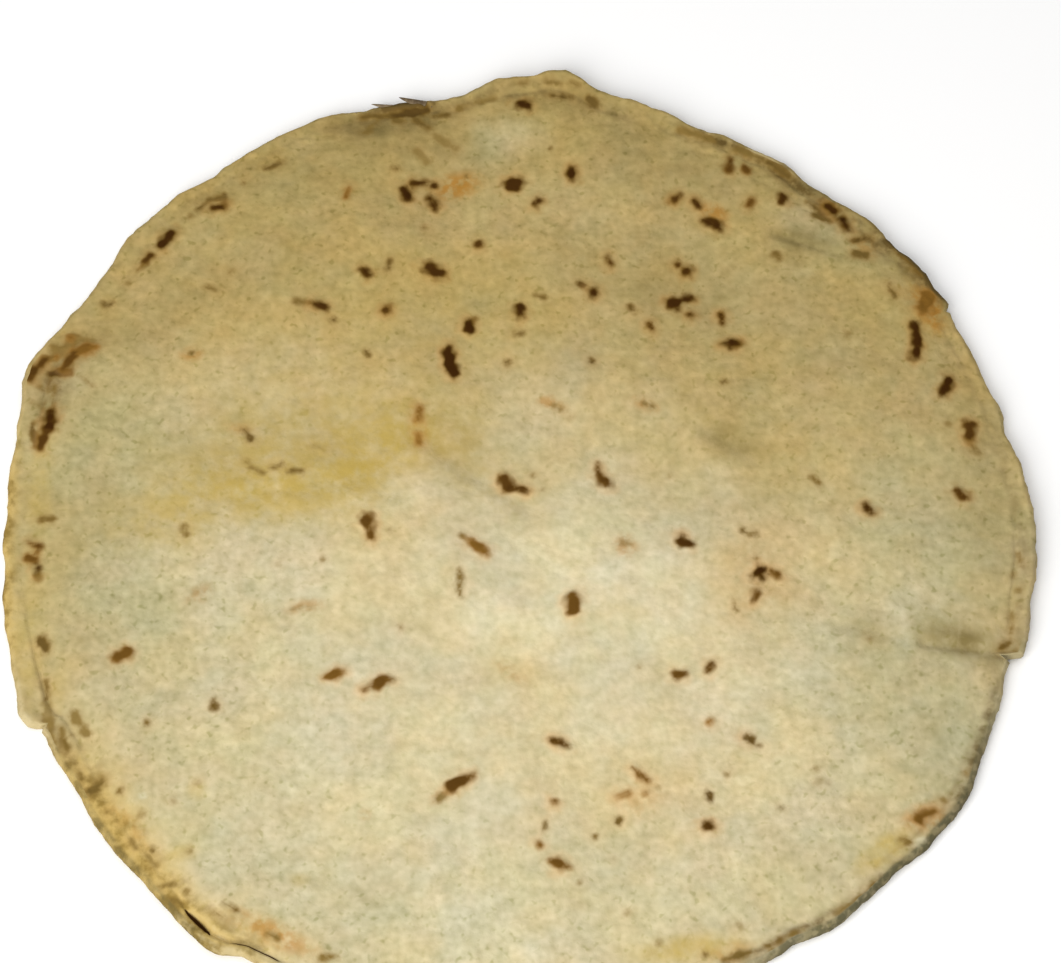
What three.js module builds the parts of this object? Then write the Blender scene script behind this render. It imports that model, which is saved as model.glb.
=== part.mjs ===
// Bajra bhakri: a round flatbread of pearl-millet dough, patted out by hand and baked on a griddle.
// It is one solid. The baked top skin has puffed up a little inside a thinner ledge that runs round the edge.
// Millimetres, +Z up. The bread lies on Z = 0 with its origin under the middle of its box.
import * as THREE from "three";

// Driving dimensions
const MEAN_RADIUS = 109.5;
const LEDGE_THICKNESS = 3.5; // of the thin border outside the puffed skin
const PUFF_RISE = 1.3; // of the puffed skin above the border
const CREASE_DEPTH = 0.12; // where the two skins lie close together
const CREASE_HALF_WIDTH = 0.9;
const SHOULDER_WIDTH = 9; // over which the puffed skin climbs from the crease to its full height
const EDGE_ROUND = 1.3; // of the upper and lower corners of the edge

// How far the edge stands outside the mean radius, as [bearing, reach].
// Bearings are in degrees from +X towards +Y, and the far side of the bread is at 90.
const EDGE_REACH = [
  [0, 2.2], [7, 1.4], [14, -0.2], [21, -0.2], [28.2, -0.3], [29.6, 0.8], [41, 0.1], [51, -1.7],
  [57, -0.3], [62, -0.9], [66, -1.9], [69, -0.9], [74, 0.0], [78.5, 0.1], [84.5, 5.2], [90, 3.0],
  [97, -1.4], [104, -0.3], [117, 2.0], [127, 0.5], [132, 1.9], [138, 2.3], [146, 0.3], [153, 0.4],
  [159, 3.2], [172, -0.4], [186, -0.7], [203.5, 1.3], [205.6, -1.2], [211, -1.8], [219, -1.0],
  [229, 0.0], [236, 2.3], [241, -0.4], [256, 0.6], [271, 0.2], [288, -0.8], [299, -1.4], [307, 0.6],
  [314, 0.1], [324, 2.5], [337, 0.2], [343.4, -0.9], [345, 1.8], [352, 2.1],
];

// Width of the ledge, from the edge in to the crease at the foot of the puffed skin, as [bearing, width]
const LEDGE_WIDTHS = [
  [0, 4.4], [24, 3.2], [46, 3.0], [66, 3.9], [86, 5.2], [104, 3.4], [135, 3.2], [160, 5.6], [185, 4.6],
  [202, 6.0], [222, 4.4], [234, 3.0], [246, 3.0], [268, 4.0], [300, 3.6], [326, 3.2], [346, 4.3],
];
const WIDEST_LEDGE = Math.max(...LEDGE_WIDTHS.map(([, width]) => width));

// Where the edge has split inwards while the dough was patted out
const TEARS = [
  { bearing: 344.2, depth: 3.4, halfWidth: 0.5 },
  { bearing: 204.6, depth: 2.2, halfWidth: 0.5 },
  { bearing: 29, depth: 1.6, halfWidth: 0.4 },
  { bearing: 101, depth: 1.8, halfWidth: 0.4 },
  { bearing: 265, depth: 1.6, halfWidth: 0.4 },
];

// Stretches where the crease has opened into a groove between the two skins
const GROOVES = [
  { bearing: 56, halfWidth: 16, depth: 0.25 },
  { bearing: 353, halfWidth: 14, depth: 0.45 },
  { bearing: 85, halfWidth: 12, depth: 0.25 },
  { bearing: 160, halfWidth: 9, depth: 0.4 },
  { bearing: 200, halfWidth: 13, depth: 0.7 },
  { bearing: 238, halfWidth: 10, depth: 1.3 },
  { bearing: 288, halfWidth: 16, depth: 0.3 },
];

// Places where the edge has curled up off the surface below
const CURLS = [
  { bearing: 84, halfWidth: 22, lift: 1.7 },
  { bearing: 160, halfWidth: 20, lift: 1.4 },
  { bearing: 357, halfWidth: 18, lift: 1.7 },
  { bearing: 236, halfWidth: 14, lift: 0.7 },
  { bearing: 40, halfWidth: 16, lift: 0.9 },
];
const CURL_REACH = 26; // how far in from the edge a curl begins
const RAGGED_REACH = 8; // how far in the raggedness and the tears of the edge carry

// Broad blisters and hollows of the top skin: the middle, half length, half width, turn in degrees, and rise
const SWELLS = [
  { x: -6, y: -13, length: 58, width: 18, turn: -4, rise: 1.4 },
  { x: -14, y: -52, length: 64, width: 26, turn: -6, rise: 0.8 },
  { x: 22, y: 34, length: 40, width: 15, turn: -24, rise: 1.1 },
  { x: -46, y: 22, length: 34, width: 15, turn: 16, rise: -0.8 },
  { x: 36, y: 12, length: 24, width: 11, turn: -30, rise: -0.7 },
  { x: -40, y: 62, length: 36, width: 16, turn: 34, rise: 0.8 },
  { x: 76, y: -14, length: 26, width: 7, turn: -6, rise: -0.9 },
  { x: 74, y: -32, length: 26, width: 12, turn: -10, rise: 0.8 },
  { x: 62, y: 54, length: 22, width: 9, turn: -42, rise: 0.6 },
  { x: -22, y: 86, length: 20, width: 8, turn: 8, rise: -0.6 },
  { x: -30, y: -72, length: 34, width: 14, turn: -24, rise: 0.6 },
];

// Fineness of the faceted surface
const EDGE_BEARINGS = 180;
const TEAR_CLEARANCE = 0.5; // degrees kept free of other bearings on each side of a tear's own
const FACET_SIZE = 5.2; // across the puffed skin
const FEWEST_FACETS = 6; // round the smallest ring of the skin
const SHOULDER_RINGS = [5.5, 2.6, CREASE_HALF_WIDTH]; // distances in from the crease
const BASE_INSETS = [3, 8, 16]; // of the rings under the edge
const BASE_BEARINGS = 60; // round the flat middle of the base

const DEGREE = Math.PI / 180;
const TURN = 360;

const smoothstep = (t) => {
  const s = Math.min(1, Math.max(0, t));
  return s * s * (3 - 2 * s);
};
const wrap = (bearing) => ((bearing % TURN) + TURN) % TURN;
const apart = (a, b) => Math.abs(wrap(a - b + TURN / 2) - TURN / 2);

// A seeded draw from 0 to 1
function seeded(seed) {
  let state = seed;
  return () => {
    state = (state * 1664525 + 1013904223) >>> 0;
    return state / 2 ** 32;
  };
}

// An uneven wave round the edge, made of whole numbers of ripples so that it closes
function unevenness(seed, ripples, size) {
  const draw = seeded(seed);
  const waves = ripples.map((count) => ({ count, phase: draw() * TURN, share: 0.5 + draw() / 2 }));
  return (bearing) =>
    waves.reduce((sum, w) => sum + w.share * Math.sin((w.count * bearing + w.phase) * DEGREE), 0) *
    (size / waves.length);
}
const ragged = unevenness(7, [23, 37, 52, 71], 0.9);
const ledgeWaver = unevenness(11, [9, 14, 22, 31], 0.5);
const thicknessWaver = unevenness(19, [4, 7, 12, 19], 0.7);

// The low lumps left in the skin by patting, as waves that cross the bread in spread-out directions
const HEADING_STEP = 2.4; // radians from one wave's heading to the next one's
function patting(seed, wavelengths, size) {
  const draw = seeded(seed);
  const waves = wavelengths.map((wavelength, i) => {
    const heading = i * HEADING_STEP + draw();
    const k = (2 * Math.PI) / wavelength;
    return { kx: k * Math.cos(heading), ky: k * Math.sin(heading), phase: draw() * 2 * Math.PI };
  });
  return (x, y) =>
    waves.reduce((sum, w) => sum + Math.sin(w.kx * x + w.ky * y + w.phase), 0) * (size / waves.length);
}
const lumps = patting(5, [58, 47, 39, 33, 28, 24], 0.9);

// A smooth run through a list of [bearing, value] that starts at bearing 0
function between(list, bearing) {
  const b = wrap(bearing);
  const after = list.findIndex(([at]) => at > b);
  const next = after < 0 ? [TURN, list[0][1]] : list[after];
  const last = list[(after < 0 ? list.length : after) - 1];
  const share = smoothstep((b - last[0]) / (next[0] - last[0]));
  return last[1] + (next[1] - last[1]) * share;
}

// The edge's radius without its fine unevenness
const smoothRadius = (bearing) => MEAN_RADIUS + between(EDGE_REACH, bearing);

const tearDepth = (bearing) =>
  TEARS.reduce((sum, t) => sum + t.depth * Math.max(0, 1 - apart(bearing, t.bearing) / t.halfWidth), 0);

// A sum of rounded bumps round the edge, each with the size that its key names
const bumps = (list, key) => (bearing) =>
  list.reduce((sum, f) => sum + f[key] * smoothstep(1 - apart(bearing, f.bearing) / f.halfWidth), 0);
const grooveDepth = bumps(GROOVES, "depth");
const curl = bumps(CURLS, "lift");

const ledgeWidth = (bearing) => between(LEDGE_WIDTHS, bearing) + ledgeWaver(bearing);
const ledgeHeight = (bearing) => LEDGE_THICKNESS + thicknessWaver(bearing);
const curlAt = (bearing, inset) => curl(bearing) * Math.max(0, 1 - inset / CURL_REACH) ** 2;

function swellAt(x, y) {
  return SWELLS.reduce((sum, s) => {
    const [dx, dy] = [x - s.x, y - s.y];
    const [c, n] = [Math.cos(s.turn * DEGREE), Math.sin(s.turn * DEGREE)];
    const along = (dx * c + dy * n) / s.length;
    const across = (dy * c - dx * n) / s.width;
    return sum + s.rise * Math.exp(-2 * (along * along + across * across));
  }, 0);
}

// Height of the top skin at a distance in from the edge
function topHeight(bearing, inset, x, y) {
  const crease = ledgeWidth(bearing);
  const climb = smoothstep((inset - crease) / SHOULDER_WIDTH);
  const near = Math.max(0, 1 - Math.abs(inset - crease) / CREASE_HALF_WIDTH);
  const groove = near * (CREASE_DEPTH + grooveDepth(bearing));
  const skin = LEDGE_THICKNESS + PUFF_RISE + swellAt(x, y) + lumps(x, y);
  return THREE.MathUtils.lerp(ledgeHeight(bearing), skin, climb) - groove + curlAt(bearing, inset);
}

// A point at a bearing and a distance in from the edge. Raggedness and tears fade out further in.
function place(bearing, inset, height) {
  const fade = Math.max(0, 1 - inset / RAGGED_REACH);
  const r = smoothRadius(bearing) - inset + fade * (ragged(bearing) - tearDepth(bearing));
  const [x, y] = [r * Math.cos(bearing * DEGREE), r * Math.sin(bearing * DEGREE)];
  return { bearing, point: new THREE.Vector3(x, y, height(x, y)) };
}

const evenBearings = (count) => Array.from({ length: count }, (_, i) => (i * TURN) / count);

// Bearings of the rings at the edge: even steps, with three at each tear in place of those close by
function edgeBearings() {
  const atTears = TEARS.flatMap((t) => [t.bearing - t.halfWidth, t.bearing, t.bearing + t.halfWidth]);
  const kept = evenBearings(EDGE_BEARINGS).filter((b) => atTears.every((t) => apart(b, t) > TEAR_CLEARANCE));
  return [...kept, ...atTears].sort((a, b) => a - b);
}

// Rings of the puffed skin from near the middle out to the shoulder, each with facets of about the same size
function skinRings() {
  const outermost = WIDEST_LEDGE + SHOULDER_WIDTH;
  const steps = Math.round((MEAN_RADIUS - outermost) / FACET_SIZE);
  return Array.from({ length: steps }, (_, i) => {
    const share = (i + 1) / steps;
    const count = Math.round((2 * Math.PI * share * (MEAN_RADIUS - outermost)) / FACET_SIZE);
    return evenBearings(Math.max(FEWEST_FACETS, count)).map((bearing) => {
      const inset = smoothRadius(bearing) - share * (smoothRadius(bearing) - outermost);
      return place(bearing, inset, (x, y) => topHeight(bearing, inset, x, y));
    });
  });
}

// Rings over the shoulder, the crease and the ledge. Their insets follow the crease.
function ledgeRings(bearings) {
  const insets = [
    ...SHOULDER_RINGS.map((inside) => (crease) => crease + inside),
    (crease) => crease,
    (crease) => crease - CREASE_HALF_WIDTH,
    (crease) => (crease - CREASE_HALF_WIDTH + EDGE_ROUND) / 2,
  ];
  return insets.map((insetFor) =>
    bearings.map((bearing) => {
      const inset = insetFor(ledgeWidth(bearing));
      return place(bearing, inset, (x, y) => topHeight(bearing, inset, x, y));
    }),
  );
}

// Rings round the edge itself: the upper corner, the face, and the lower corner
function edgeRings(bearings) {
  const corner = EDGE_ROUND * (1 - Math.SQRT1_2);
  const profile = [
    { inset: EDGE_ROUND, height: (top) => top },
    { inset: corner, height: (top) => top - corner },
    { inset: 0, height: (top, base) => top - Math.min(EDGE_ROUND, (top - base) / 2) },
    { inset: corner, height: (top, base) => base + corner },
    { inset: EDGE_ROUND, height: (top, base) => base },
  ];
  return profile.map(({ inset, height }) =>
    bearings.map((bearing) =>
      place(bearing, inset, () => height(ledgeHeight(bearing) + curl(bearing), curl(bearing))),
    ),
  );
}

// Rings under the bread, ending in the flat middle that it rests on
function baseRings(bearings) {
  const underRing = (inset, at) => at.map((bearing) => place(bearing, inset, () => curlAt(bearing, inset)));
  const underEdge = BASE_INSETS.map((inset) => underRing(inset, bearings));
  return [...underEdge, underRing(CURL_REACH, evenBearings(BASE_BEARINGS))];
}

// Faces between two neighbouring rings, which may have different numbers of points
function stitch(first, second, faces) {
  const at = (ring, i) => ring[i % ring.length];
  const bearingAt = (ring, i) => at(ring, i).bearing + TURN * Math.floor(i / ring.length);
  let [i, j] = [0, 0];
  while (i < first.length || j < second.length) {
    const firstIsNext = bearingAt(first, i + 1) < bearingAt(second, j + 1);
    const alongFirst = j >= second.length || (i < first.length && firstIsNext);
    const third = alongFirst ? at(first, i + 1) : at(second, j + 1);
    faces.push([at(first, i), at(second, j), third]);
    if (alongFirst) i += 1;
    else j += 1;
  }
}

// Closes a ring onto a point in its middle
function fan(ring, middle, upward, faces) {
  ring.forEach((corner, i) => {
    const next = ring[(i + 1) % ring.length];
    faces.push(upward ? [middle, corner, next] : [middle, next, corner]);
  });
}

function breadGeometry() {
  const bearings = edgeBearings();
  const rings = [...skinRings(), ...ledgeRings(bearings), ...edgeRings(bearings), ...baseRings(bearings)];
  const middleTop = { point: new THREE.Vector3(0, 0, topHeight(0, MEAN_RADIUS, 0, 0)) };
  const middleBase = { point: new THREE.Vector3(0, 0, 0) };

  const faces = [];
  fan(rings[0], middleTop, true, faces);
  rings.slice(1).forEach((ring, i) => stitch(rings[i], ring, faces));
  fan(rings[rings.length - 1], middleBase, false, faces);

  const corners = [middleTop, middleBase, ...rings.flat()];
  corners.forEach((corner, i) => (corner.index = i));
  const geometry = new THREE.BufferGeometry().setFromPoints(corners.map((c) => c.point));
  geometry.setIndex(faces.flat().map((corner) => corner.index));
  geometry.computeBoundingBox();
  const middle = geometry.boundingBox.getCenter(new THREE.Vector3());
  geometry.translate(-middle.x, -middle.y, -geometry.boundingBox.min.z);
  geometry.computeVertexNormals();
  return geometry;
}

const crumb = new THREE.MeshStandardMaterial({ color: 0xc3b27c, roughness: 0.9, metalness: 0 });
const bread = new THREE.Mesh(breadGeometry(), crumb);
bread.name = "bhakri";

const bhakri = new THREE.Group();
bhakri.add(bread);

export default bhakri;
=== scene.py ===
"""Dresses the bajra bhakri: a fine mesh on the form of the CAD solid, with a baked pearl-millet skin.

Sizes are in millimetres in the part's own frame, and turn into metres where a mesh, light or camera is made.
Bearings are in degrees from +X towards +Y, as in the solid. An inset is a distance in from the edge.
A ramp is a pair of values: it rises from 0 at the first to 1 at the second, whichever is larger.
"""
import math
from collections import namedtuple

import bpy
import numpy as np
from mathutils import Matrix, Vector
from mathutils.bvhtree import BVHTree


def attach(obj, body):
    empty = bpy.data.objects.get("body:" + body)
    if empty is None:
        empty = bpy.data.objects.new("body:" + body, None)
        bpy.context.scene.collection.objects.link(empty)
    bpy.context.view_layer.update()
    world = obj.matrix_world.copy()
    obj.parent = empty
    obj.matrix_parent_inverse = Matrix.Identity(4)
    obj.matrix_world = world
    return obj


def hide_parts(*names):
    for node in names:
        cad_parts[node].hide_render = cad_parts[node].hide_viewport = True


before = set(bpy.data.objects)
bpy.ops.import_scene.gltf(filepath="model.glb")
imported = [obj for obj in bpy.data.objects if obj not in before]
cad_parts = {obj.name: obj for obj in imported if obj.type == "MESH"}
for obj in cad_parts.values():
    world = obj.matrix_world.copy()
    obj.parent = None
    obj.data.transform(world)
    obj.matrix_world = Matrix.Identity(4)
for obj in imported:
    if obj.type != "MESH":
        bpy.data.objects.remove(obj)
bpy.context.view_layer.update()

MM = 0.001

# Points in a ring at the rim, their spacing on the skin and the underside, and the fewest in a ring
RIM_BEARINGS = 880
SKIN_SPACING = 0.75
BASE_SPACING = 2.2
FEWEST_POINTS = 6
# Insets of the ledge's rings, of the skin's outermost ring, and of the underside's rings near the edge
RIM_INSETS = (1.3, 1.7, 2.1, 2.5, 2.9, 3.3, 3.7, 4.1, 4.5, 4.9, 5.3, 5.7, 6.1, 6.6, 7.1, 7.7)
SKIN_START = 8.4
BASE_INSETS = (2.4, 4.5, 7.5)
# The inset that the two middle points are given
MIDDLE_INSET = 110.0

# The rounded side: how far in it reaches, and the angles of its rings, up and down from level
EDGE_ROUND = 1.3
EDGE_ANGLES = (76, 58, 40, 22, 6, -10, -26, -44, -62, -78, -90)
# From this angle down it counts as underside
UNDERSIDE_ANGLE = -60

# Rays towards the solid start outside its edge at these heights, or this far above or below it
RAY_RADIUS = 200.0
EDGE_HEIGHTS = np.arange(0.4, 6.0, 0.4)
RAY_HEIGHT = 50.0

# The outline's own shape carries in this far, and further in the rings are smooth
RAGGED_REACH = 8.0
# The skin goes over from the solid's own heights to smoothed ones between these insets
SMOOTH_SKIN = (11.0, 17.0)
# The crease inside the ledge lies between these insets
CREASE_INSETS = (2.4, 7.2)
# How far values are smoothed along a ring, in points
OUTLINE_SIGMA = 9.0
SKIN_SIGMA = 4.0
LEDGE_SIGMA = 2.5
CREASE_SIGMA = 3.0

# Relief that comes from noise: its depth, the size of its bumps, the seed of its pattern, and a shift along X
Rough = namedtuple("Rough", "depth cell seed shift", defaults=(0.0,))
EDGE_CRUMBLE = (Rough(0.14, 3.1, 21), Rough(0.12, 1.3, 22))
LEDGE_CRUMBLE = (Rough(0.16, 1.7, 41), Rough(0.1, 0.9, 42))
LUMPS = (Rough(0.16, 11.0, 1), Rough(0.12, 6.0, 2, 40.0))
GRAIN = (Rough(0.05, 2.4, 4), Rough(0.035, 1.5, 5))
WRINKLES = Rough(0.12, 5.0, 3)
WRINKLE_SHARPNESS = 6
# Wrinkles are drawn out along X, and lie a little askew
WRINKLE_ALONG = 0.6
WRINKLE_SKEW = 0.2
WRINKLE_ACROSS = 1.3
SIDE_LAYERS = Rough(0.35, 1.6, 31)
SIDE_CRUMBLE = Rough(0.12, 1.1, 32)
BASE_CRUMBLE = Rough(0.05, 4.0, 6)
# Insets over which the skin's fine relief grows in from the edge, and the ledge's crumble out from the skin
RELIEF_RAMP = (1.0, 5.0)
CRUMBLE_RAMP = (9.0, 3.0)
# How the side's layers are stretched along it, and how its patterns move on with each degree of its round
LAYER_STRETCH = 0.5
LAYER_STEP = 0.11
CRUMBLE_STEP = 0.3

# A scorched place: a stroke from one end to the other, with the half width at each end, and how dark it is
Stroke = namedtuple("Stroke", "x0 y0 x1 y1 r0 r1 tone")
# The share of its half width that a lens keeps at its ends
LENS_TIP = 0.28


def as_strokes(strokes, dots, lenses):
    """A dot (x, y, r, tone) is a stroke of no length. A lens (x0, y0, x1, y1, r, tone) is two that taper."""
    found = [Stroke(*row) for row in strokes]
    for x, y, r, tone in dots:
        found.append(Stroke(x, y, x, y, r, r, tone))
    for x0, y0, x1, y1, r, tone in lenses:
        x = (x0 + x1) / 2
        y = (y0 + y1) / 2
        found.append(Stroke(x0, y0, x, y, LENS_TIP * r, r, tone))
        found.append(Stroke(x, y, x1, y1, r, LENS_TIP * r, tone))
    return found


# The burns, by the part of the bread where they lie
BURN_STROKES = (
    # far left
    (-26, 80.2, -25.2, 78, 1, 1, 1), (-23.8, 82, -21.5, 82, 0.75, 0.75, 0.9),
    (-19.9, 78.1, -18.9, 76.1, 0.85, 0.95, 0.95), (-2.3, 81.1, -0.7, 81.9, 1.5, 1.45, 0.91),
    (-68.3, 75.8, -66.1, 75.7, 0.8, 0.7, 0.92), (-77.4, 69.3, -79.2, 66.7, 1, 1.1, 0.95),
    (-81.8, 64, -83, 62.4, 0.75, 0.65, 0.85), (-34.6, 59.3, -33.6, 58.1, 0.75, 0.9, 0.95),
    (-20.4, 60.2, -17.9, 59, 1.65, 1.5, 0.91), (-45.1, 51, -42.8, 50.2, 0.8, 0.8, 0.9),
    (-11.5, 46.5, -11.1, 45.2, 0.8, 1.15, 1), (-15.7, 39.8, -14.7, 34.7, 1.1, 1.35, 1),
    (-14.6, 36, -13.6, 35.6, 0.9, 0.6, 0.95), (0.1, 49.8, 0.2, 48.5, 1.1, 1.15, 0.95),
    (-0.2, 102.3, 1.5, 102.1, 1, 0.9, 0.95), (-38.3, 80.2, -38.7, 77.7, 0.6, 0.7, 0.6),
    (-21.5, 25.8, -22.1, 22.8, 0.6, 0.7, 0.6), (-22.2, 20, -21.6, 17.4, 0.6, 0.5, 0.5),
    # far right
    (3.3, 76.4, 4.1, 77.2, 1, 0.9, 0.9), (11.8, 85, 11.6, 83.4, 0.85, 0.95, 1),
    (34.6, 77.7, 35.7, 78.7, 0.8, 0.65, 0.85), (38.7, 77.5, 39.7, 76.2, 0.65, 0.75, 0.9),
    (41, 72.5, 44, 71, 0.8, 1.3, 0.93), (51.6, 77.8, 51.2, 76.2, 0.5, 0.75, 0.75),
    (47.3, 88.5, 47, 86.1, 0.45, 1, 0.8), (50.4, 86.5, 50.9, 85.7, 0.8, 0.8, 0.75),
    (19.4, 62.6, 20.1, 61.1, 0.5, 0.7, 0.85), (58.8, 79.2, 58.5, 77.8, 0.75, 1.05, 0.9),
    (71.8, 72.7, 73.1, 70, 0.85, 0.65, 0.95), (68.3, 76.8, 70, 75.3, 0.7, 0.8, 0.95),
    (16.2, 54.8, 16.4, 53.7, 0.75, 0.85, 0.95), (34, 51.5, 37, 52.6, 1.5, 0.95, 0.95),
    (34.4, 51, 34.7, 50.3, 0.9, 0.6, 0.95), (28.4, 46.1, 28.9, 44.9, 0.5, 0.65, 0.85),
    (44.2, 48.3, 44.5, 46.9, 0.75, 0.7, 0.9), (86.5, 45.9, 87.1, 42.2, 0.95, 1.2, 1),
    (87.1, 42.2, 86.4, 38.8, 1.15, 1.2, 1), (93.3, 32.9, 91.9, 29.5, 1.25, 0.9, 1),
    (97.3, 21.7, 97.1, 18.7, 1.15, 0.85, 0.84), (93.8, 6, 95.5, 4.1, 0.75, 0.8, 0.85),
    (90, 53.4, 88.9, 49.9, 1.5, 1.6, 0.62),
    # middle
    (-3.4, 9, -2.6, 7.5, 1.35, 1.45, 0.82), (-2.4, 7.1, 1.7, 6.2, 1.1, 0.7, 0.86),
    (16.9, 12.4, 16.9, 9.8, 0.4, 0.9, 0.82), (17, 9.6, 18.8, 7.5, 1.15, 1.1, 0.82),
    (-32.6, -0.8, -31.6, -5.2, 1.75, 0.75, 0.77), (-10.2, -6.7, -7.2, -9, 0.9, 1.15, 0.62),
    (11.3, -19.5, 11.1, -22.1, 1.6, 1.5, 0.74), (34.8, -4.7, 34.2, -6.2, 0.55, 0.95, 0.9),
    (34.2, -6.3, 36.8, -6.8, 1, 0.6, 0.9), (50.8, -12.7, 49.6, -13.8, 1.4, 0.9, 1),
    (50.6, -13.3, 51.4, -14.4, 1, 0.65, 0.95), (53.6, -12.8, 54.8, -13.5, 0.65, 0.75, 0.74),
    (50.2, -17.9, 49.5, -19.6, 0.8, 0.55, 0.78), (74, 2.4, 75.1, 1.1, 0.8, 0.95, 0.95),
    (-104.6, -5.8, -102.3, -6.7, 0.55, 0.8, 0.78), (-104.4, -9.2, -102.6, -10, 0.8, 0.45, 0.74),
    # near
    (-32.4, -40.1, -29.2, -38.4, 0.6, 1.35, 0.75), (-28.8, -38, -26.5, -37.6, 1.25, 0.5, 0.75),
    (-13.7, -61.2, -9.2, -58.9, 1.5, 0.45, 0.8), (32.8, -36.6, 34.8, -36.2, 0.95, 0.55, 0.78),
    (40.2, -34.2, 39.3, -35.8, 0.85, 0.55, 0.8), (23.4, -57, 26, -59.8, 0.3, 0.9, 0.7),
    (82.2, -67.5, 85.6, -66, 1.35, 0.4, 0.7), (-84.6, -32.7, -81.9, -31.5, 0.9, 1.15, 0.72),
    (20.2, -63.7, 22.6, -62.5, 0.5, 0.45, 0.62),
    # left edge
    (-101.3, 25, -101.8, 21.4, 1, 1.6, 1), (-101.8, 21.2, -103.2, 16.8, 1.55, 0.7, 0.84),
    (-107, 33.4, -102.9, 37.9, 1, 0.8, 0.82), (-98.8, 36, -96.9, 39.6, 1, 1.3, 0.78),
    (-96.9, 39.6, -94.6, 40.5, 1.35, 1.3, 0.62), (-94.6, 40.5, -92.8, 41, 1.1, 0.7, 0.56),
)
BURN_DOTS = (
    (-19.4, 81.3, 0.75, 0.9), (-9.1, 66.2, 0.75, 0.85), (-29.3, 49.5, 0.85, 0.85), (34.8, 61, 0.65, 0.85),
    (36.8, 59.4, 1.05, 0.9), (37.4, 48.3, 0.9, 0.9), (-102.3, -12, 0.9, 0.95), (-102.7, -7.9, 0.5, 0.68),
    (38.7, -70, 1.4, 0.88), (7.2, -64.7, 0.9, 0.7), (4, -73.8, 0.8, 0.68), (26, -62.8, 0.55, 0.62),
    (39.6, -47, 0.6, 0.55), (-101.2, 38.4, 0.4, 0.6), (-98.3, 43, 0.6, 0.64),
)
BURN_LENSES = (
    (44.2, 41.4, 48, 41.6, 1.05, 1), (-40.8, -37.2, -36.4, -36, 1.2, 0.68),
    (6.3, -51, 10.4, -52.4, 0.95, 0.84), (6.3, -77.1, 10.6, -78.9, 1.1, 0.74),
)
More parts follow.
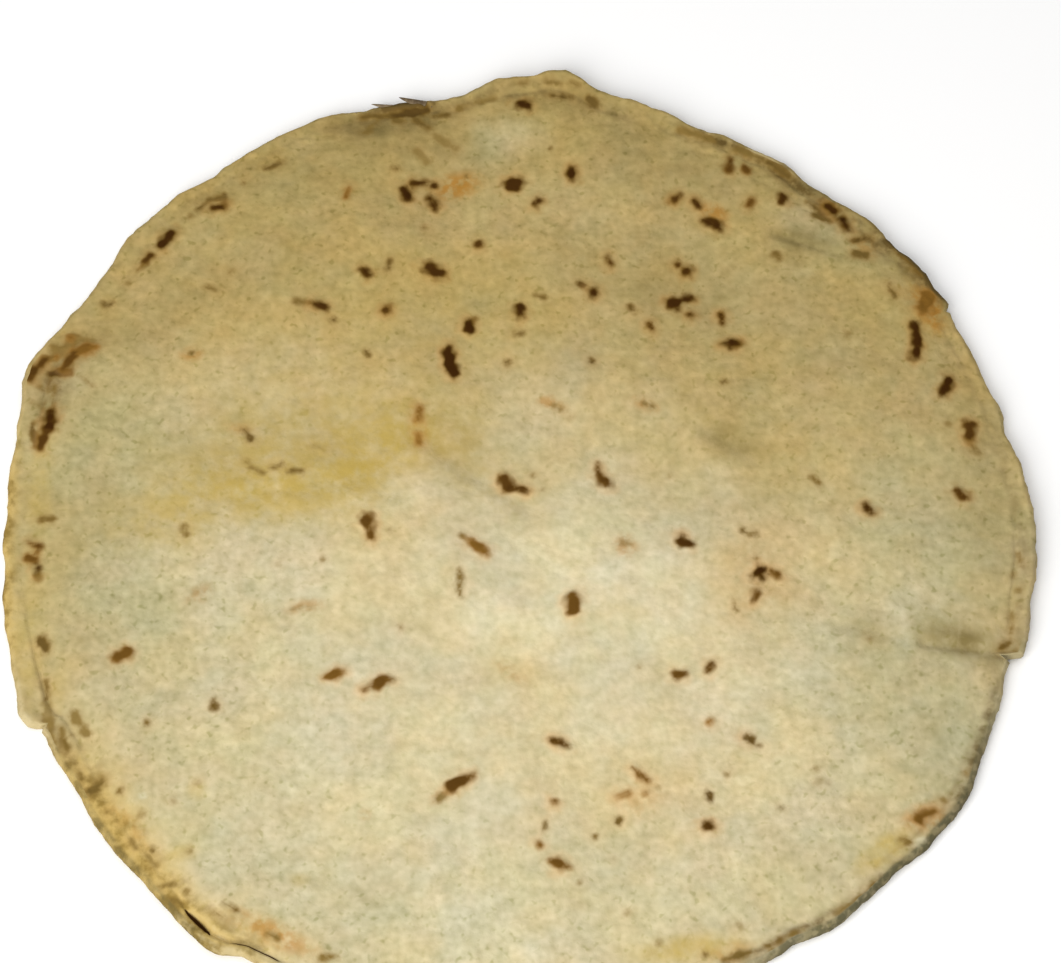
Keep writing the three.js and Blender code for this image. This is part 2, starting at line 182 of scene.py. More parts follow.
# The olive-brown marks, which lie under the burns
BROWN_STROKES = (
    # far left
    (-28.7, 61.6, -29.1, 59.9, 0.45, 0.55, 0.7), (-49, 51.6, -46, 51.2, 0.6, 0.65, 0.5),
    (-29, 50.2, -28.4, 51, 0.4, 0.3, 0.5), (-10.6, 46.6, -9.7, 47.7, 0.4, 0.3, 0.55),
    (-33.6, 39.7, -33.1, 38.6, 0.4, 0.5, 0.6), (-53.2, 11.9, -51.4, 12.4, 0.5, 0.6, 0.6),
    (-49.2, 11.2, -47, 10.8, 0.6, 0.55, 0.58), (-44.2, 17, -42, 16, 0.35, 0.4, 0.3),
    (-69.2, 78.2, -66.2, 78.3, 0.9, 0.9, 0.6), (-71.8, 75.7, -68.7, 78.5, 0.5, 0.6, 0.62),
    (-66, 79.2, -65.9, 75.9, 0.5, 0.5, 0.66), (-83, 62.2, -84.6, 60.4, 0.4, 0.3, 0.5),
    (-56.8, 86.2, -53.8, 87.3, 0.5, 0.65, 0.65), (-69.2, 56, -66.7, 54.8, 0.4, 0.55, 0.5),
    (-91.2, 51.5, -90, 51.6, 0.7, 0.65, 0.66), (-59.4, 20.9, -58, 18.9, 0.65, 0.8, 0.66),
    (-58, 12, -55.2, 10.5, 0.35, 0.4, 0.42), (-0.6, 43.4, 0.6, 43.7, 0.5, 0.5, 0.6),
    (-28.8, 100.2, -21, 101.4, 0.75, 1.1, 0.76), (-35.6, 99.6, -29.4, 100.2, 0.5, 0.7, 0.66),
    (-23.5, 98.8, -20.6, 96.3, 0.6, 0.5, 0.62), (-19.5, 99.8, -16.8, 100.2, 0.45, 0.45, 0.62),
    (-34.9, 95.3, -32.1, 98.6, 0.9, 0.5, 0.45), (-28.1, 98.8, -26.6, 98.6, 0.6, 0.5, 0.55),
    (-19.1, 93.8, -14.6, 91, 0.7, 0.6, 0.36), (-22.9, 90, -20.8, 87.8, 0.6, 0.5, 0.36),
    # far right
    (84, 65.6, 88.8, 59.4, 0.9, 0.9, 0.72), (69.2, 76.6, 67.4, 75.4, 1.2, 1.2, 0.66),
    (56.1, 88, 60.2, 84.3, 0.8, 0.8, 0.66), (49, 91.4, 54.4, 88.9, 0.5, 0.6, 0.5),
    (43.6, 93.5, 35.9, 96.1, 0.6, 0.4, 0.46), (7.4, 104.8, 11.6, 104.3, 0.5, 0.6, 0.68),
    (-0.4, 107.6, 1.4, 108, 0.4, 0.4, 0.4), (6.2, 108.2, 9, 108, 0.35, 0.35, 0.45),
    (11.6, 108, 13.6, 107.4, 0.35, 0.3, 0.4), (-12, 102.6, -6, 104, 0.3, 0.35, 0.4),
    (15.8, 103.6, 17.2, 101.9, 0.8, 0.9, 0.66), (24.2, 50.7, 25, 49.4, 0.45, 0.5, 0.68),
    (3.5, 53, 5.4, 52.5, 0.4, 0.55, 0.58), (13.2, 56.3, 14.5, 55.8, 0.35, 0.6, 0.8),
    (28.7, 46, 29.3, 46.9, 0.3, 0.25, 0.5), (44.4, 48.4, 44.6, 49.4, 0.3, 0.25, 0.55),
    (47, 41.3, 48.8, 41.9, 0.45, 0.25, 0.6), (7.5, 26.1, 8.9, 25.6, 0.55, 0.5, 0.45),
    (26.9, 26.7, 28.8, 25.8, 0.45, 0.5, 0.5), (64.5, 77.5, 67.5, 75.1, 0.5, 0.6, 0.66),
    (65.8, 74, 68.8, 72.8, 0.7, 0.7, 0.6), (74.5, 67.8, 77, 68.3, 0.8, 0.7, 0.72),
    (74.4, 64, 76.5, 63.4, 0.8, 0.8, 0.62), (56.6, 63.6, 57.4, 62.4, 0.6, 0.7, 0.55),
    (81.2, 56, 82.4, 53.4, 0.6, 0.5, 0.62), (97.2, 18.4, 98.3, 15.6, 0.8, 0.8, 0.55),
    (62.8, 9.5, 64.3, 7.7, 0.5, 0.5, 0.5),
    # middle
    (-12.2, -4.9, -10.2, -6.7, 0.4, 0.6, 0.5), (-48, -21.4, -44, -20.8, 0.4, 0.4, 0.3),
    (47.4, -3.2, 48.9, -4, 0.45, 0.45, 0.64), (48.9, -4, 50.5, -4.1, 0.45, 0.5, 0.6),
    (45.5, -20.2, 45.7, -21.6, 0.4, 0.5, 0.6), (21.9, -6.2, 23.4, -6.7, 0.8, 0.7, 0.3),
    (102.9, -28.9, 101.4, -29.6, 0.6, 0.6, 0.7), (104, -30.6, 104.8, -32.4, 0.6, 0.6, 0.6),
    (106.3, -8.2, 106.5, -11, 0.2, 0.2, 0.55), (104.8, -12.9, 104.4, -13.8, 0.5, 0.4, 0.36),
    (104.1, -21.8, 103.4, -26.4, 0.25, 0.35, 0.5), (-71.4, -2.2, -71.1, -4.2, 0.6, 0.7, 0.5),
    # near
    (-63.8, -41.8, -63.6, -43.5, 0.35, 1, 0.7), (-14.6, -62.3, -16.6, -64.1, 0.8, 0.7, 0.45),
    (5.6, -69.6, 5, -70.8, 0.45, 0.45, 0.6), (39, -62.6, 39.6, -64.1, 0.7, 0.35, 0.76),
    (47.2, -50.2, 49.2, -52.2, 0.9, 0.8, 0.74), (61.5, -60.2, 64, -60.2, 0.6, 0.6, 0.25),
    (72.6, -81.8, 71.4, -82.9, 0.6, 0.6, 0.6), (53, -93.4, 50.6, -94.8, 0.4, 0.6, 0.68),
    # near left edge
    (-94.5, -50.4, -93.6, -52.4, 0.65, 0.5, 0.58), (-92.7, -44.8, -89.9, -48.8, 0.85, 0.9, 0.45),
    (-88.5, -61.7, -85.9, -59.5, 0.8, 0.8, 0.6), (-90.8, -57.4, -90.2, -59, 0.35, 0.4, 0.45),
    (-95.2, -47.8, -95, -49.3, 0.55, 0.5, 0.5), (-76, -75.4, -74.2, -77.8, 0.6, 0.4, 0.4),
    (-59.8, -86.2, -57.2, -87.6, 0.35, 0.45, 0.66), (-61.5, -88, -59.8, -89, 0.35, 0.4, 0.52),
    (-73, -82.4, -70, -81.6, 0.35, 0.4, 0.46), (-51, -92.6, -48.8, -93.2, 0.55, 0.65, 0.56),
    (-39.4, -97.4, -36.6, -97.3, 0.55, 0.5, 0.5), (-99, -37.4, -98.7, -41, 0.45, 0.5, 0.6),
    (-98.7, -42.4, -98.2, -45, 0.8, 0.9, 0.36), (-98.2, -45, -97, -50.6, 0.9, 0.7, 0.42),
    (-79.6, -72, -78.4, -74, 0.4, 0.3, 0.42),
    # left edge
    (-102, -0.5, -99.6, -0.4, 0.6, 0.5, 0.56), (-100.2, -28.3, -99.6, -30.8, 1.15, 0.6, 0.68),
    (-102.1, 34.5, -98.1, 34.9, 0.9, 1, 0.84), (-103, 37.8, -99.4, 40.4, 1.3, 1.6, 0.46),
    (-99.4, 40.4, -97.4, 43.2, 1.5, 1.1, 0.5), (-97.4, 43.2, -93.6, 42.4, 0.9, 0.7, 0.42),
    (-101.3, 31.3, -101.1, 25.9, 0.35, 0.3, 0.55), (-104.2, 31.3, -102, 30, 0.25, 0.25, 0.45),
    (-105.5, 27.4, -103.3, 26.1, 0.25, 0.25, 0.4), (-96, 34, -92.6, 31.2, 0.25, 0.2, 0.4),
    (-105.3, 21.6, -104.3, 17.4, 0.9, 0.7, 0.7),
)
BROWN_DOTS = (
    (-27.7, 86, 0.55, 0.6), (-21.1, 70.5, 0.5, 0.6), (-11.8, 83.8, 0.55, 0.5), (-40.7, 47.3, 0.55, 0.68),
    (-2.7, 36.9, 0.6, 0.66), (-62, 82.4, 0.65, 0.5), (-73.5, 74, 0.6, 0.4), (-86.6, 57, 0.5, 0.35),
    (-13.6, 101.6, 0.7, 0.5), (-58.8, 13.4, 0.45, 0.4), (-63.9, 59.4, 0.5, 0.45),
    (-71.6, 39.2, 0.65, 0.56), (33.3, 77, 0.5, 0.55), (6.9, 90.7, 0.55, 0.64), (15.8, 36.7, 0.65, 0.74),
    (44.3, 31.9, 0.55, 0.66), (71.8, 44, 0.6, 0.32), (92.5, 22, 0.6, 0.35), (11.1, 23.2, 0.45, 0.3),
    (32.5, 9.6, 0.4, 0.3), (2.9, 10, 0.35, 0.4), (5, 6.5, 0.3, 0.35), (105.6, -17, 0.3, 0.5),
    (105.4, -20.2, 0.3, 0.45), (-27.7, -3.4, 0.7, 0.3), (-41.6, -10.2, 0.6, 0.36), (50, -9.7, 0.6, 0.6),
    (73.3, -28.5, 0.4, 0.4), (-24.8, -25.8, 0.35, 0.4), (-51, -11, 0.4, 0.25), (25, -34.9, 0.3, 0.4),
    (20.5, -68.5, 0.8, 0.62), (28.6, -61.5, 0.4, 0.32), (15.6, -72, 0.65, 0.54), (53.8, -65.8, 0.65, 0.62),
    (43, -58.6, 0.45, 0.35), (45, -91, 0.8, 0.3), (12.5, -81.8, 0.4, 0.35), (37.8, -96.5, 0.6, 0.5),
    (80, -72.7, 0.8, 0.55), (78.4, -72.3, 0.7, 0.42), (87.5, -63.3, 0.6, 0.42), (61.5, -57, 0.5, 0.36),
    (19.2, -77, 0.4, 0.3), (22, -88, 0.5, 0.3), (28.4, -94.4, 0.4, 0.35), (51.2, -95.6, 0.7, 0.5),
    (92.6, -57.4, 0.6, 0.4), (-93.1, -49.2, 0.4, 0.4), (-90.3, -59, 0.55, 0.5), (-82.2, -61.8, 0.65, 0.54),
    (-77.3, -66.8, 0.55, 0.42), (-75, -74.6, 0.9, 0.58), (-67.8, -83.4, 0.55, 0.46),
    (-67, -75, 0.65, 0.32), (-71, -64.4, 0.55, 0.36), (-66, -60.3, 0.45, 0.42), (-77.2, -47, 0.5, 0.56),
    (-84.7, -66.4, 0.5, 0.4), (-70, -85, 0.5, 0.4), (-102, -13.6, 0.75, 0.5),
)
BROWN_LENSES = (
    (-12.4, -12.8, -12.6, -19, 1.15, 0.5), (41.5, -97.6, 47.2, -96, 1, 0.6),
    (69.8, -84, 64.6, -87.9, 0.5, 0.5), (57.6, -91.3, 54.6, -92.8, 0.4, 0.55),
)
# The least squared length of a stroke, so that a dot has one too
LEAST_SQUARE = 1e-6
# Distance that stands for no scorch mark at all, and the furthest that is measured
NO_MARK = 9.0
FURTHEST_MARK = 12.0
# How far a mark's border wanders: thin marks stay whole, and wide ones are more ragged
LEAST_FRAY = 0.15
FRAY_PER_WIDTH = 0.45
MOST_FRAY = 0.8
# A scorch mark is a blister that touched the griddle, so it stands up a little inside its border
BLISTER_HEIGHT = 0.32
BLISTER_RAMP = (1.2, -0.8)

# A soft patch of the skin: its middle, half length, half width, turn, strength, and its border's softness
Patch = namedtuple("Patch", "x y length width turn strength soft", defaults=(0.9,))
# The borders of patches wander by this share of their size, up to that of a patch of the largest size
PATCH_WANDER = 0.3
LARGEST_WANDER = 10.0
WANDER_CELL = 9.0
WANDER_SEEDS = (51, 52)


def patches(*rows):
    return [Patch(*row) for row in rows]


# Paler dough, or darker where the strength is below zero
PALE_PATCHES = patches(
    (20, 30, 18, 7, -12, 0.08, 0.7), (14, -16, 16, 15, 0, 0.3, 0.8), (-4, -20, 34, 11, -4, 0.08, 0.7),
    (-28, 6, 8, 7, 0, 0.3), (-58, 34, 24, 9, 10, 0.12), (-8, -92, 14, 9, 0, 0.25),
    (-38, -24, 20, 13, 0, -0.12), (-2, 94, 6, 4, 20, 0.3), (63, 70, 8, 5, -40, 0.2),
    (98, -46, 7, 8, 0, 0.25), (-44, -86, 10, 5, -20, 0.15), (-5, -99, 8, 4, 0, 0.3),
    (-80, -18, 9, 8, 0, 0.2), (-65, -70, 8, 8, 0, 0.15), (-4, 4, 5, 4, -37, 0.3, 0.8),
    (44, 20, 22, 14, -20, -0.22), (62, 6, 13, 11, 0, -0.12), (90, 12, 22, 32, 0, -0.1),
    (-98, -18, 13, 38, 0, -0.28), (-78, -52, 10, 22, -40, -0.06), (10, 76, 34, 13, 0, 0.12),
    (79.5, -26, 2.4, 5.5, 10, 0.4, 0.8), (82.2, -72.9, 1.6, 0.9, 20, 0.8, 0.5), (-86, 26, 20, 12, 0, 0.14),
    (104, -18, 8, 26, 0, -0.14), (52, -10, 16, 16, 0, -0.08), (46, -59.6, 2, 0.9, -10, 0.5, 0.6),
    (-77.3, -63, 0.9, 0.7, 0, 0.6, 0.6), (41, -58.5, 1.2, 0.7, -20, 0.5, 0.6),
)
# Patches of other colours
GREEN_PATCHES = patches(
    (-90, 17, 18, 16, 0, 0.65), (-90, -14, 16, 12, 0, 0.5), (79, -42, 20, 14, -20, 0.45),
    (84, -14, 22, 13, 0, 0.3), (71, 66, 9, 6, -30, 0.55), (-8, 92, 4, 6, 0, 0.5), (90, 2, 15, 16, 0, 0.45),
    (88, -54, 10, 12, 30, 0.4), (-42, -84, 22, 9, -20, 0.25), (-62, -60, 14, 10, 0, 0.22),
    (60, -80, 12, 8, 30, 0.2), (-50, 78, 16, 8, 30, 0.2), (0, -84, 76, 20, 0, 0.15),
    (-60, -32, 28, 16, 0, 0.2), (-79, -33, 10, 14, 0, 0.25), (50, 62, 12, 8, -20, 0.2),
    (-54, -70, 20, 12, -20, 0.1),
)
PINK_PATCHES = patches(
    (10, -16, 32, 13, 0, 0.12), (52, -11, 13, 14, 0, 0.75, 0.8), (24, -66, 13, 10, 0, 0.5),
    (-1, -36, 8, 4, -20, 0.5, 0.8), (46, -25, 9, 8, 0, 0.3), (-32, -8, 12, 8, 0, 0.3),
    (42, -52, 16, 18, 0, 0.25), (-62, 34, 24, 12, 10, 0.25), (-26, 9, 12, 11, 0, 0.4),
    (-26, 34, 15, 16, 0, 0.3), (98, 26, 7, 10, 0, 0.25), (8, -52, 10, 16, 0, 0.25),
)
YELLOW_PATCHES = patches(
    (-47, 14, 28, 12.5, 13, 0.7, 0.8), (-50, 6.4, 19, 5, 9, 0.2, 0.7), (-66, 5, 16, 7, 14, 0.42),
    (-28, 15.5, 14, 7, 25, 0.5), (-9, 11, 16, 6, -37, 0.45, 0.8), (-78, -3, 12, 5, 10, 0.35),
    (75, -75.4, 6, 2.6, 36, 1, 0.6), (-66.5, -62.3, 2.2, 2, 0, 0.45, 0.7),
    (-69, -75, 3, 1.6, 0, 0.45, 0.7), (-44, -81, 2.2, 1.5, 0, 0.4, 0.7), (35, -95.7, 11, 2.6, 4, 0.9, 0.7),
    (-50, -92.8, 9, 3, -24, 0.35, 0.8), (-97, -40, 2.5, 4, 0, 0.4, 0.8), (-103, 8, 2.4, 12, 0, 0.6, 0.8),
    (-103, -30, 3, 14, 0, 0.5), (-80, -66, 6, 14, 45, 0.35), (-32, -1, 8, 6, 0, 0.2),
    (-30, 40, 40, 16, 12, 0.3), (50, 20, 26, 16, -20, 0.2), (92, -27, 12, 4.5, 0, 0.35),
    (86, 52, 8, 10, 0, 0.25),
)
# Painted shade in the folds and hollows of the top, with some browned patches among it
SHADE_AND_BROWNING_PATCHES = patches(
    (-10.5, 10.5, 16, 4.6, -37, 0.18, 0.7), (-16, 19, 8, 5, -30, 0.26, 0.8), (-18, 33, 7, 9, 0, 0.12),
    (39, 50, 27, 8, -24, 0.3, 0.8), (33, 54, 9, 5, -20, 0.1, 0.8), (46, 17, 7, 3.4, -15, 0.7, 0.7),
    (96.5, -29.6, 10, 3.2, -6, 0.8, 0.7), (72.5, -25.6, 5, 3.2, 5, 0.42, 0.8), (96, -17, 5, 5, 0, 0.16),
    (76, -33, 8, 5, 0, 0.2), (90, -26.9, 7, 3.4, -14, 0.44, 0.7), (-30, 95.5, 12, 6, -8, 0.5),
    (-48, 85, 12, 5, 25, 0.28), (25, 84, 12, 5, -20, 0.28), (-27, 99, 10, 3, 8, 0.6, 0.8),
    (-21.3, 97.5, 1.5, 2.2, 0, 0.5, 0.7), (-33.5, 95.8, 2.5, 1.6, 20, 0.5, 0.7), (-20, 82, 14, 8, 0, 0.14),
    (-99, 39.5, 9, 4, 38, 0.75, 0.6), (12, 103, 12, 3, -10, 0.4, 0.8), (27, 91, 20, 4, -22, 0.3),
    (42, 82, 12, 5, -25, 0.15), (63, 66.5, 9, 2, -20, 0.5, 0.7), (61, 66, 5, 4, -20, 0.6, 0.8),
    (-55, 17, 19, 8, 14, 0.14), (-16, 90, 7, 5, 0, 0.28), (-85, 40, 7, 5, 20, 0.28),
    (14, 32, 5, 5, 0, 0.26), (86, 60, 7, 7, 0, 0.2), (-78, 50, 16, 5, 30, 0.2),
    (78, 32, 20, 11, -55, 0.22), (100, 5, 5, 22, 0, 0.3),
)
ORANGE_PATCHES = patches(
    (-14.6, 81.2, 5.4, 3.2, 20, 0.95, 0.6), (43.6, 74.2, 3.2, 2.4, -20, 0.85, 0.5),
    (75.6, 66, 3, 3, 0, 0.5, 0.7), (89.8, 50.2, 3, 5.4, 15, 0.95, 0.6), (87.5, 54.5, 5, 5, 0, 0.35),
    (-71.4, 39.1, 2.4, 1.4, 0, 0.7, 0.6), (5.9, 27.1, 2, 1.4, -15, 0.65, 0.5),
    (8.6, 25.4, 1.8, 1.4, -15, 0.45, 0.6), (25.6, 27.4, 1.5, 1.4, 0, 0.35, 0.7),
    (28.2, 25.9, 2.2, 1.3, -30, 0.6, 0.6), (-21.9, 21.5, 1.7, 5.4, 8, 0.5, 0.7),
    (-61, 21, 2.6, 1.3, -10, 0.4, 0.7), (22.6, -7, 2.1, 2.3, 0, 0.7, 0.7),
    (-67.6, -18.2, 2.8, 1.7, 40, 0.55, 0.8), (-45, -20.9, 3.8, 1.5, 8, 0.6, 0.7),
    (-1.8, -36, 3.6, 1.4, -42, 0.4, 0.7), (-15.8, -63.3, 2.6, 1.4, 42, 0.5, 0.6),
    (24, -63.4, 5.2, 3.6, 10, 0.35, 0.8), (83.6, -67.4, 4.6, 3.4, 25, 0.7, 0.6), (50.5, -13, 5, 6, 0, 0.2),
    (-31.6, -67.4, 1.5, 1.3, 0, 0.35, 0.7), (-50.2, -92.3, 8.5, 2.1, -24, 0.9, 0.7),
    (-80.8, -69.4, 6.6, 2.4, -52, 0.8, 0.7), (47, -51, 2.5, 1.5, -45, 0.3, 0.7),
    (43, -97, 5.2, 2.1, 12, 0.5, 0.7),
)
# The names by which the material finds them
STAINS = {
    "green": GREEN_PATCHES,
    "pink": PINK_PATCHES,
    "yellow": YELLOW_PATCHES,
    "shade_and_browning": SHADE_AND_BROWNING_PATCHES,
    "orange": ORANGE_PATCHES,
}

# Painted light and sheen: the near half is paler than the far half, and the dough is paler round this middle
# than towards the border
NEAR_PAINTED_LIGHT = 0.84
NEAR_LIGHT_RAMP = (74.0, -28.0)
PALE_MIDDLE = (4.0, -26.0)
BORDER_RAMP = (45.0, 118.0)
BORDER_LOSS = 0.45
# The pale middle has few specks of bran
BRAN_MIDDLE = (6.0, -28.0)
BRAN_RAMP = (78.0, 24.0)
BRAN_LOSS = 0.7

# The dough of the underside
UNDER_PALENESS = 0.45
UNDER_BRAN = 0.6

# Folds of the skin: a line with its half width and its depth
Fold = namedtuple("Fold", "x0 y0 x1 y1 half_width depth")
FOLDS = (
    Fold(85.0, -29.0, 101.0, -30.8, 2.2, 0.8),
    Fold(67.0, -25.0, 81.0, -28.2, 2.6, 0.3),
    Fold(-22.0, 19.5, 3.0, 1.5, 4.0, 0.5),
    Fold(40.0, 21.0, 51.0, 14.0, 3.3, 0.35),
    Fold(-66.0, 4.0, -36.0, 9.0, 3.7, 0.3),
    Fold(57.0, 68.5, 70.0, 64.0, 1.7, 0.35),
)

# How the ledge has browned, by stretches of the edge: golden or charred, and how far in
Toast = namedtuple("Toast", "bearing half_width gold char reach")
TOASTED_STRETCHES = [Toast(*row) for row in (
    (225, 28, 0.8, 0.05, 8), (238, 10, 0.5, 0, 10), (262, 26, 0.4, 0.1, 5), (296, 22, 0.3, 0.3, 2.4),
    (322, 22, 0.35, 0.35, 2.4), (352, 20, 0.2, 0.1, 5), (12, 16, 0.25, 0, 4), (38, 18, 0.4, 0.3, 1.9),
    (54, 16, 0.2, 0.2, 1.6), (84, 16, 0.2, 0, 5), (103, 9, 0.3, 0.2, 2.6), (130, 24, 0.15, 0, 3.5),
    (159, 9, 0.4, 0, 7), (184, 22, 0.7, 0.3, 4),
)]
# An olive-brown band along the rim: its middle and half length as bearings, its inset, spread and strength
Band = namedtuple("Band", "bearing half_width inset spread strength")
UMBER_BANDS = [Band(*row) for row in (
    (1, 14, 3.8, 1.3, 0.36), (14, 16, 3.2, 2.2, 0.2), (34, 11, 2.2, 2, 0.7), (35, 8, 0.7, 1.3, 1.9),
    (36, 10, 1.3, 1.4, 1), (42, 12, 3, 2.2, 0.72), (52, 11, 2.6, 2.2, 0.92), (60, 13, 2.5, 1.6, 1),
    (72, 9, 4.2, 1.6, 0.28), (84, 16, 5.5, 1.3, 0.5), (86, 13, 2.4, 1.3, 0.22), (100, 11, 3.6, 1.8, 0.62),
    (104.5, 6, 1.2, 1.7, 1.7), (108, 9, 4.2, 2.8, 0.5), (130, 13, 4, 1.6, 0.22), (141, 8, 6, 1.4, 0.24),
    (164, 6, 6.6, 3.2, 0.7), (209, 11, 2.4, 1.6, 0.3), (228, 16, 0.9, 0.8, 0.3), (284, 12, 2.6, 1.2, 0.4),
    (299, 14, 2.2, 1, 0.8), (312, 11, 1.7, 1.2, 0.5), (331, 13, 1.7, 1.3, 0.75), (343, 12, 2.4, 2.2, 0.34),
    (352, 11, 2.6, 1.5, 0.4),
)]
# A stretch of the edge with the strength of what shows along it
Arc = namedtuple("Arc", "bearing half_width strength")
# A stretch or band fades out from its middle to its ends over these shares of its half length
ARC_RAMP = (1.0, 0.3)
# Where the side is darkened with painted shade, and how far that reaches in over the top of the edge
SHADED_SIDES = (Arc(314, 30, 1.0), Arc(225, 24, 0.5))
SIDE_SHADE_REACH = 2.0
# Where the crease inside the ledge shows as a brown line, and its half width
BROWN_CREASES = (Arc(164, 6, 0.5), Arc(203, 10, 0.16), Arc(322, 12, 0.3))
CREASE_LINE_WIDTH = 0.55
# Where the lower skin's lip stays pale outside the crease, and how wide it is
PALE_LIPS = (Arc(237, 8, 0.5), Arc(61, 8, 0.45), Arc(204, 6, 0.6))
LIP_WIDTH = 1.9
# Open slits near the edge, where the lower skin stands out as a lip
Slit = namedtuple("Slit", "start end inset half_width depth")
SLITS = (Slit(231.8, 236.2, 2.5, 0.6, 1.3), Slit(237.6, 244.5, 2.5, 0.3, 0.6))
SLIT_END_RAMP = (1.0, 0.6)
# The square of the share of its half width that a slit keeps at its ends
SLIT_TIP_SQUARE = 0.01
# A slit this deep is painted black inside, as painted shade in the cut
SLIT_SHADE_DEPTH = 0.9

# Charred slivers of skin that stand off the far left edge: root, tip, the root's half width, and the height
Sliver = namedtuple("Sliver", "x0 y0 x1 y1 half_width z")
SLIVERS = (
    Sliver(-19.8, 102.6, -27.4, 104.6, 1.3, 3.1),
    Sliver(-24.0, 102.0, -33.6, 103.0, 1.1, 2.8),
    Sliver(-31.0, 100.6, -37.2, 100.9, 0.7, 2.5),
)
SLIVER_STEPS = 9
SLIVER_SIDES = 8
# The power of its taper, its tip's half width, how far that curls up, and its thickness beside its width
SLIVER_TAPER = 0.7
SLIVER_TIP = 0.06
SLIVER_CURL = 0.9
SLIVER_FLATNESS = 0.38


def smoothstep(low, high, value):
    share = np.clip((value - low) / (high - low), 0.0, 1.0)
    return share * share * (3.0 - 2.0 * share)


def bearing_gap(bearing, other):
    return np.abs((bearing - other + 180.0) % 360.0 - 180.0)


def value_noise(x, y, cell, seed):
    """Smooth noise from -1 to 1 with bumps about one cell across, the same on every run."""
    side = 256
    table = np.random.default_rng(seed).uniform(-1.0, 1.0, (side, side))
    column = np.floor(x / cell).astype(int)
    row = np.floor(y / cell).astype(int)
    across = smoothstep(0.0, 1.0, x / cell - column)
    along = smoothstep(0.0, 1.0, y / cell - row)
    corner = [table[(row + r) % side, (column + c) % side] for r in (0, 1) for c in (0, 1)]
    near = corner[0] + (corner[1] - corner[0]) * across
    far = corner[2] + (corner[3] - corner[2]) * across
    return near + (far - near) * along


def roughness(x, y, *kinds):
    return sum(k.depth * value_noise(x + k.shift, y, k.cell, k.seed) for k in kinds)


def blurred_round(values, sigma):
    """A closed row of values, smoothed along itself by about sigma steps."""
    reach = int(3 * sigma) + 1
    weights = np.exp(-0.5 * (np.arange(-reach, reach + 1) / sigma) ** 2)
    weights /= weights.sum()
    padded = np.concatenate([values[-reach:], values, values[:reach]])
    return np.convolve(padded, weights, "valid")


class Solid:
    """The CAD solid, asked for its outline and its heights in millimetres."""

    def __init__(self, node):
        mesh = node.data
        points = [node.matrix_world @ v.co for v in mesh.vertices]
        self.tree = BVHTree.FromPolygons(points, [tuple(p.vertices) for p in mesh.polygons])

    def radius(self, bearing):
        """How far the edge reaches at a bearing, at whatever height it reaches furthest."""
        out = Vector((math.cos(math.radians(bearing)), math.sin(math.radians(bearing)), 0.0))
        starts = [out * (RAY_RADIUS * MM) + Vector((0, 0, z)) for z in EDGE_HEIGHTS * MM]
        hits = [self.tree.ray_cast(start, -out)[0] for start in starts]
        return max(math.hypot(h.x, h.y) for h in hits if h) / MM

    def height(self, x, y, from_above):
        """Height of the top or of the underside, or None outside the solid."""
        way = 1 if from_above else -1
        start = Vector((x * MM, y * MM, way * RAY_HEIGHT * MM))
        hit = self.tree.ray_cast(start, Vector((0, 0, -way)))[0]
        return hit.z / MM if hit else None


class SkinGrid:
    """The top's heights on a square grid, smoothed so that the solid's facets don't show."""

    STEP = 1.5
    HALF = 117.0
    SIGMA = 1.7

    def __init__(self, solid, level):
        axis = np.arange(-self.HALF, self.HALF + self.STEP, self.STEP)
        rows = [[solid.height(x, y, True) for x in axis] for y in axis]
        heights = np.array([[level if z is None else z for z in row] for row in rows])
        heights = np.apply_along_axis(blurred_round, 0, heights, self.SIGMA)
        self.heights = np.apply_along_axis(blurred_round, 1, heights, self.SIGMA)

    def at(self, x, y):
        column = (x + self.HALF) / self.STEP
        row = (y + self.HALF) / self.STEP
        c = np.floor(column).astype(int)
        r = np.floor(row).astype(int)
        across = column - c
        along = row - r
        near = self.heights[r, c] * (1 - across) + self.heights[r, c + 1] * across
        far = self.heights[r + 1, c] * (1 - across) + self.heights[r + 1, c + 1] * across
        return near * (1 - along) + far * along


class Edge:
    """The outline of the bread as radii at even bearings."""

    def __init__(self, solid):
        self.bearings = np.arange(RIM_BEARINGS) * 360.0 / RIM_BEARINGS
        outline = np.array([solid.radius(b) for b in self.bearings])
        self.smooth = blurred_round(outline, OUTLINE_SIGMA)
        x = self.smooth * np.cos(np.radians(self.bearings))
        y = self.smooth * np.sin(np.radians(self.bearings))
        self.uneven = outline + roughness(x, y, *EDGE_CRUMBLE) - self.smooth

    def smooth_radius(self, bearing):
        bearings = np.append(self.bearings, 360.0)
        radii = np.append(self.smooth, self.smooth[0])
        return np.interp(bearing % 360.0, bearings, radii)

    def ring(self, inset):
        """The points of a ring at the rim, at an inset that may differ from bearing to bearing."""
        fade = np.clip(1.0 - inset / RAGGED_REACH, 0.0, 1.0)
        r = self.smooth - inset + fade * self.uneven
        turn = np.radians(self.bearings)
        return r * np.cos(turn), r * np.sin(turn)


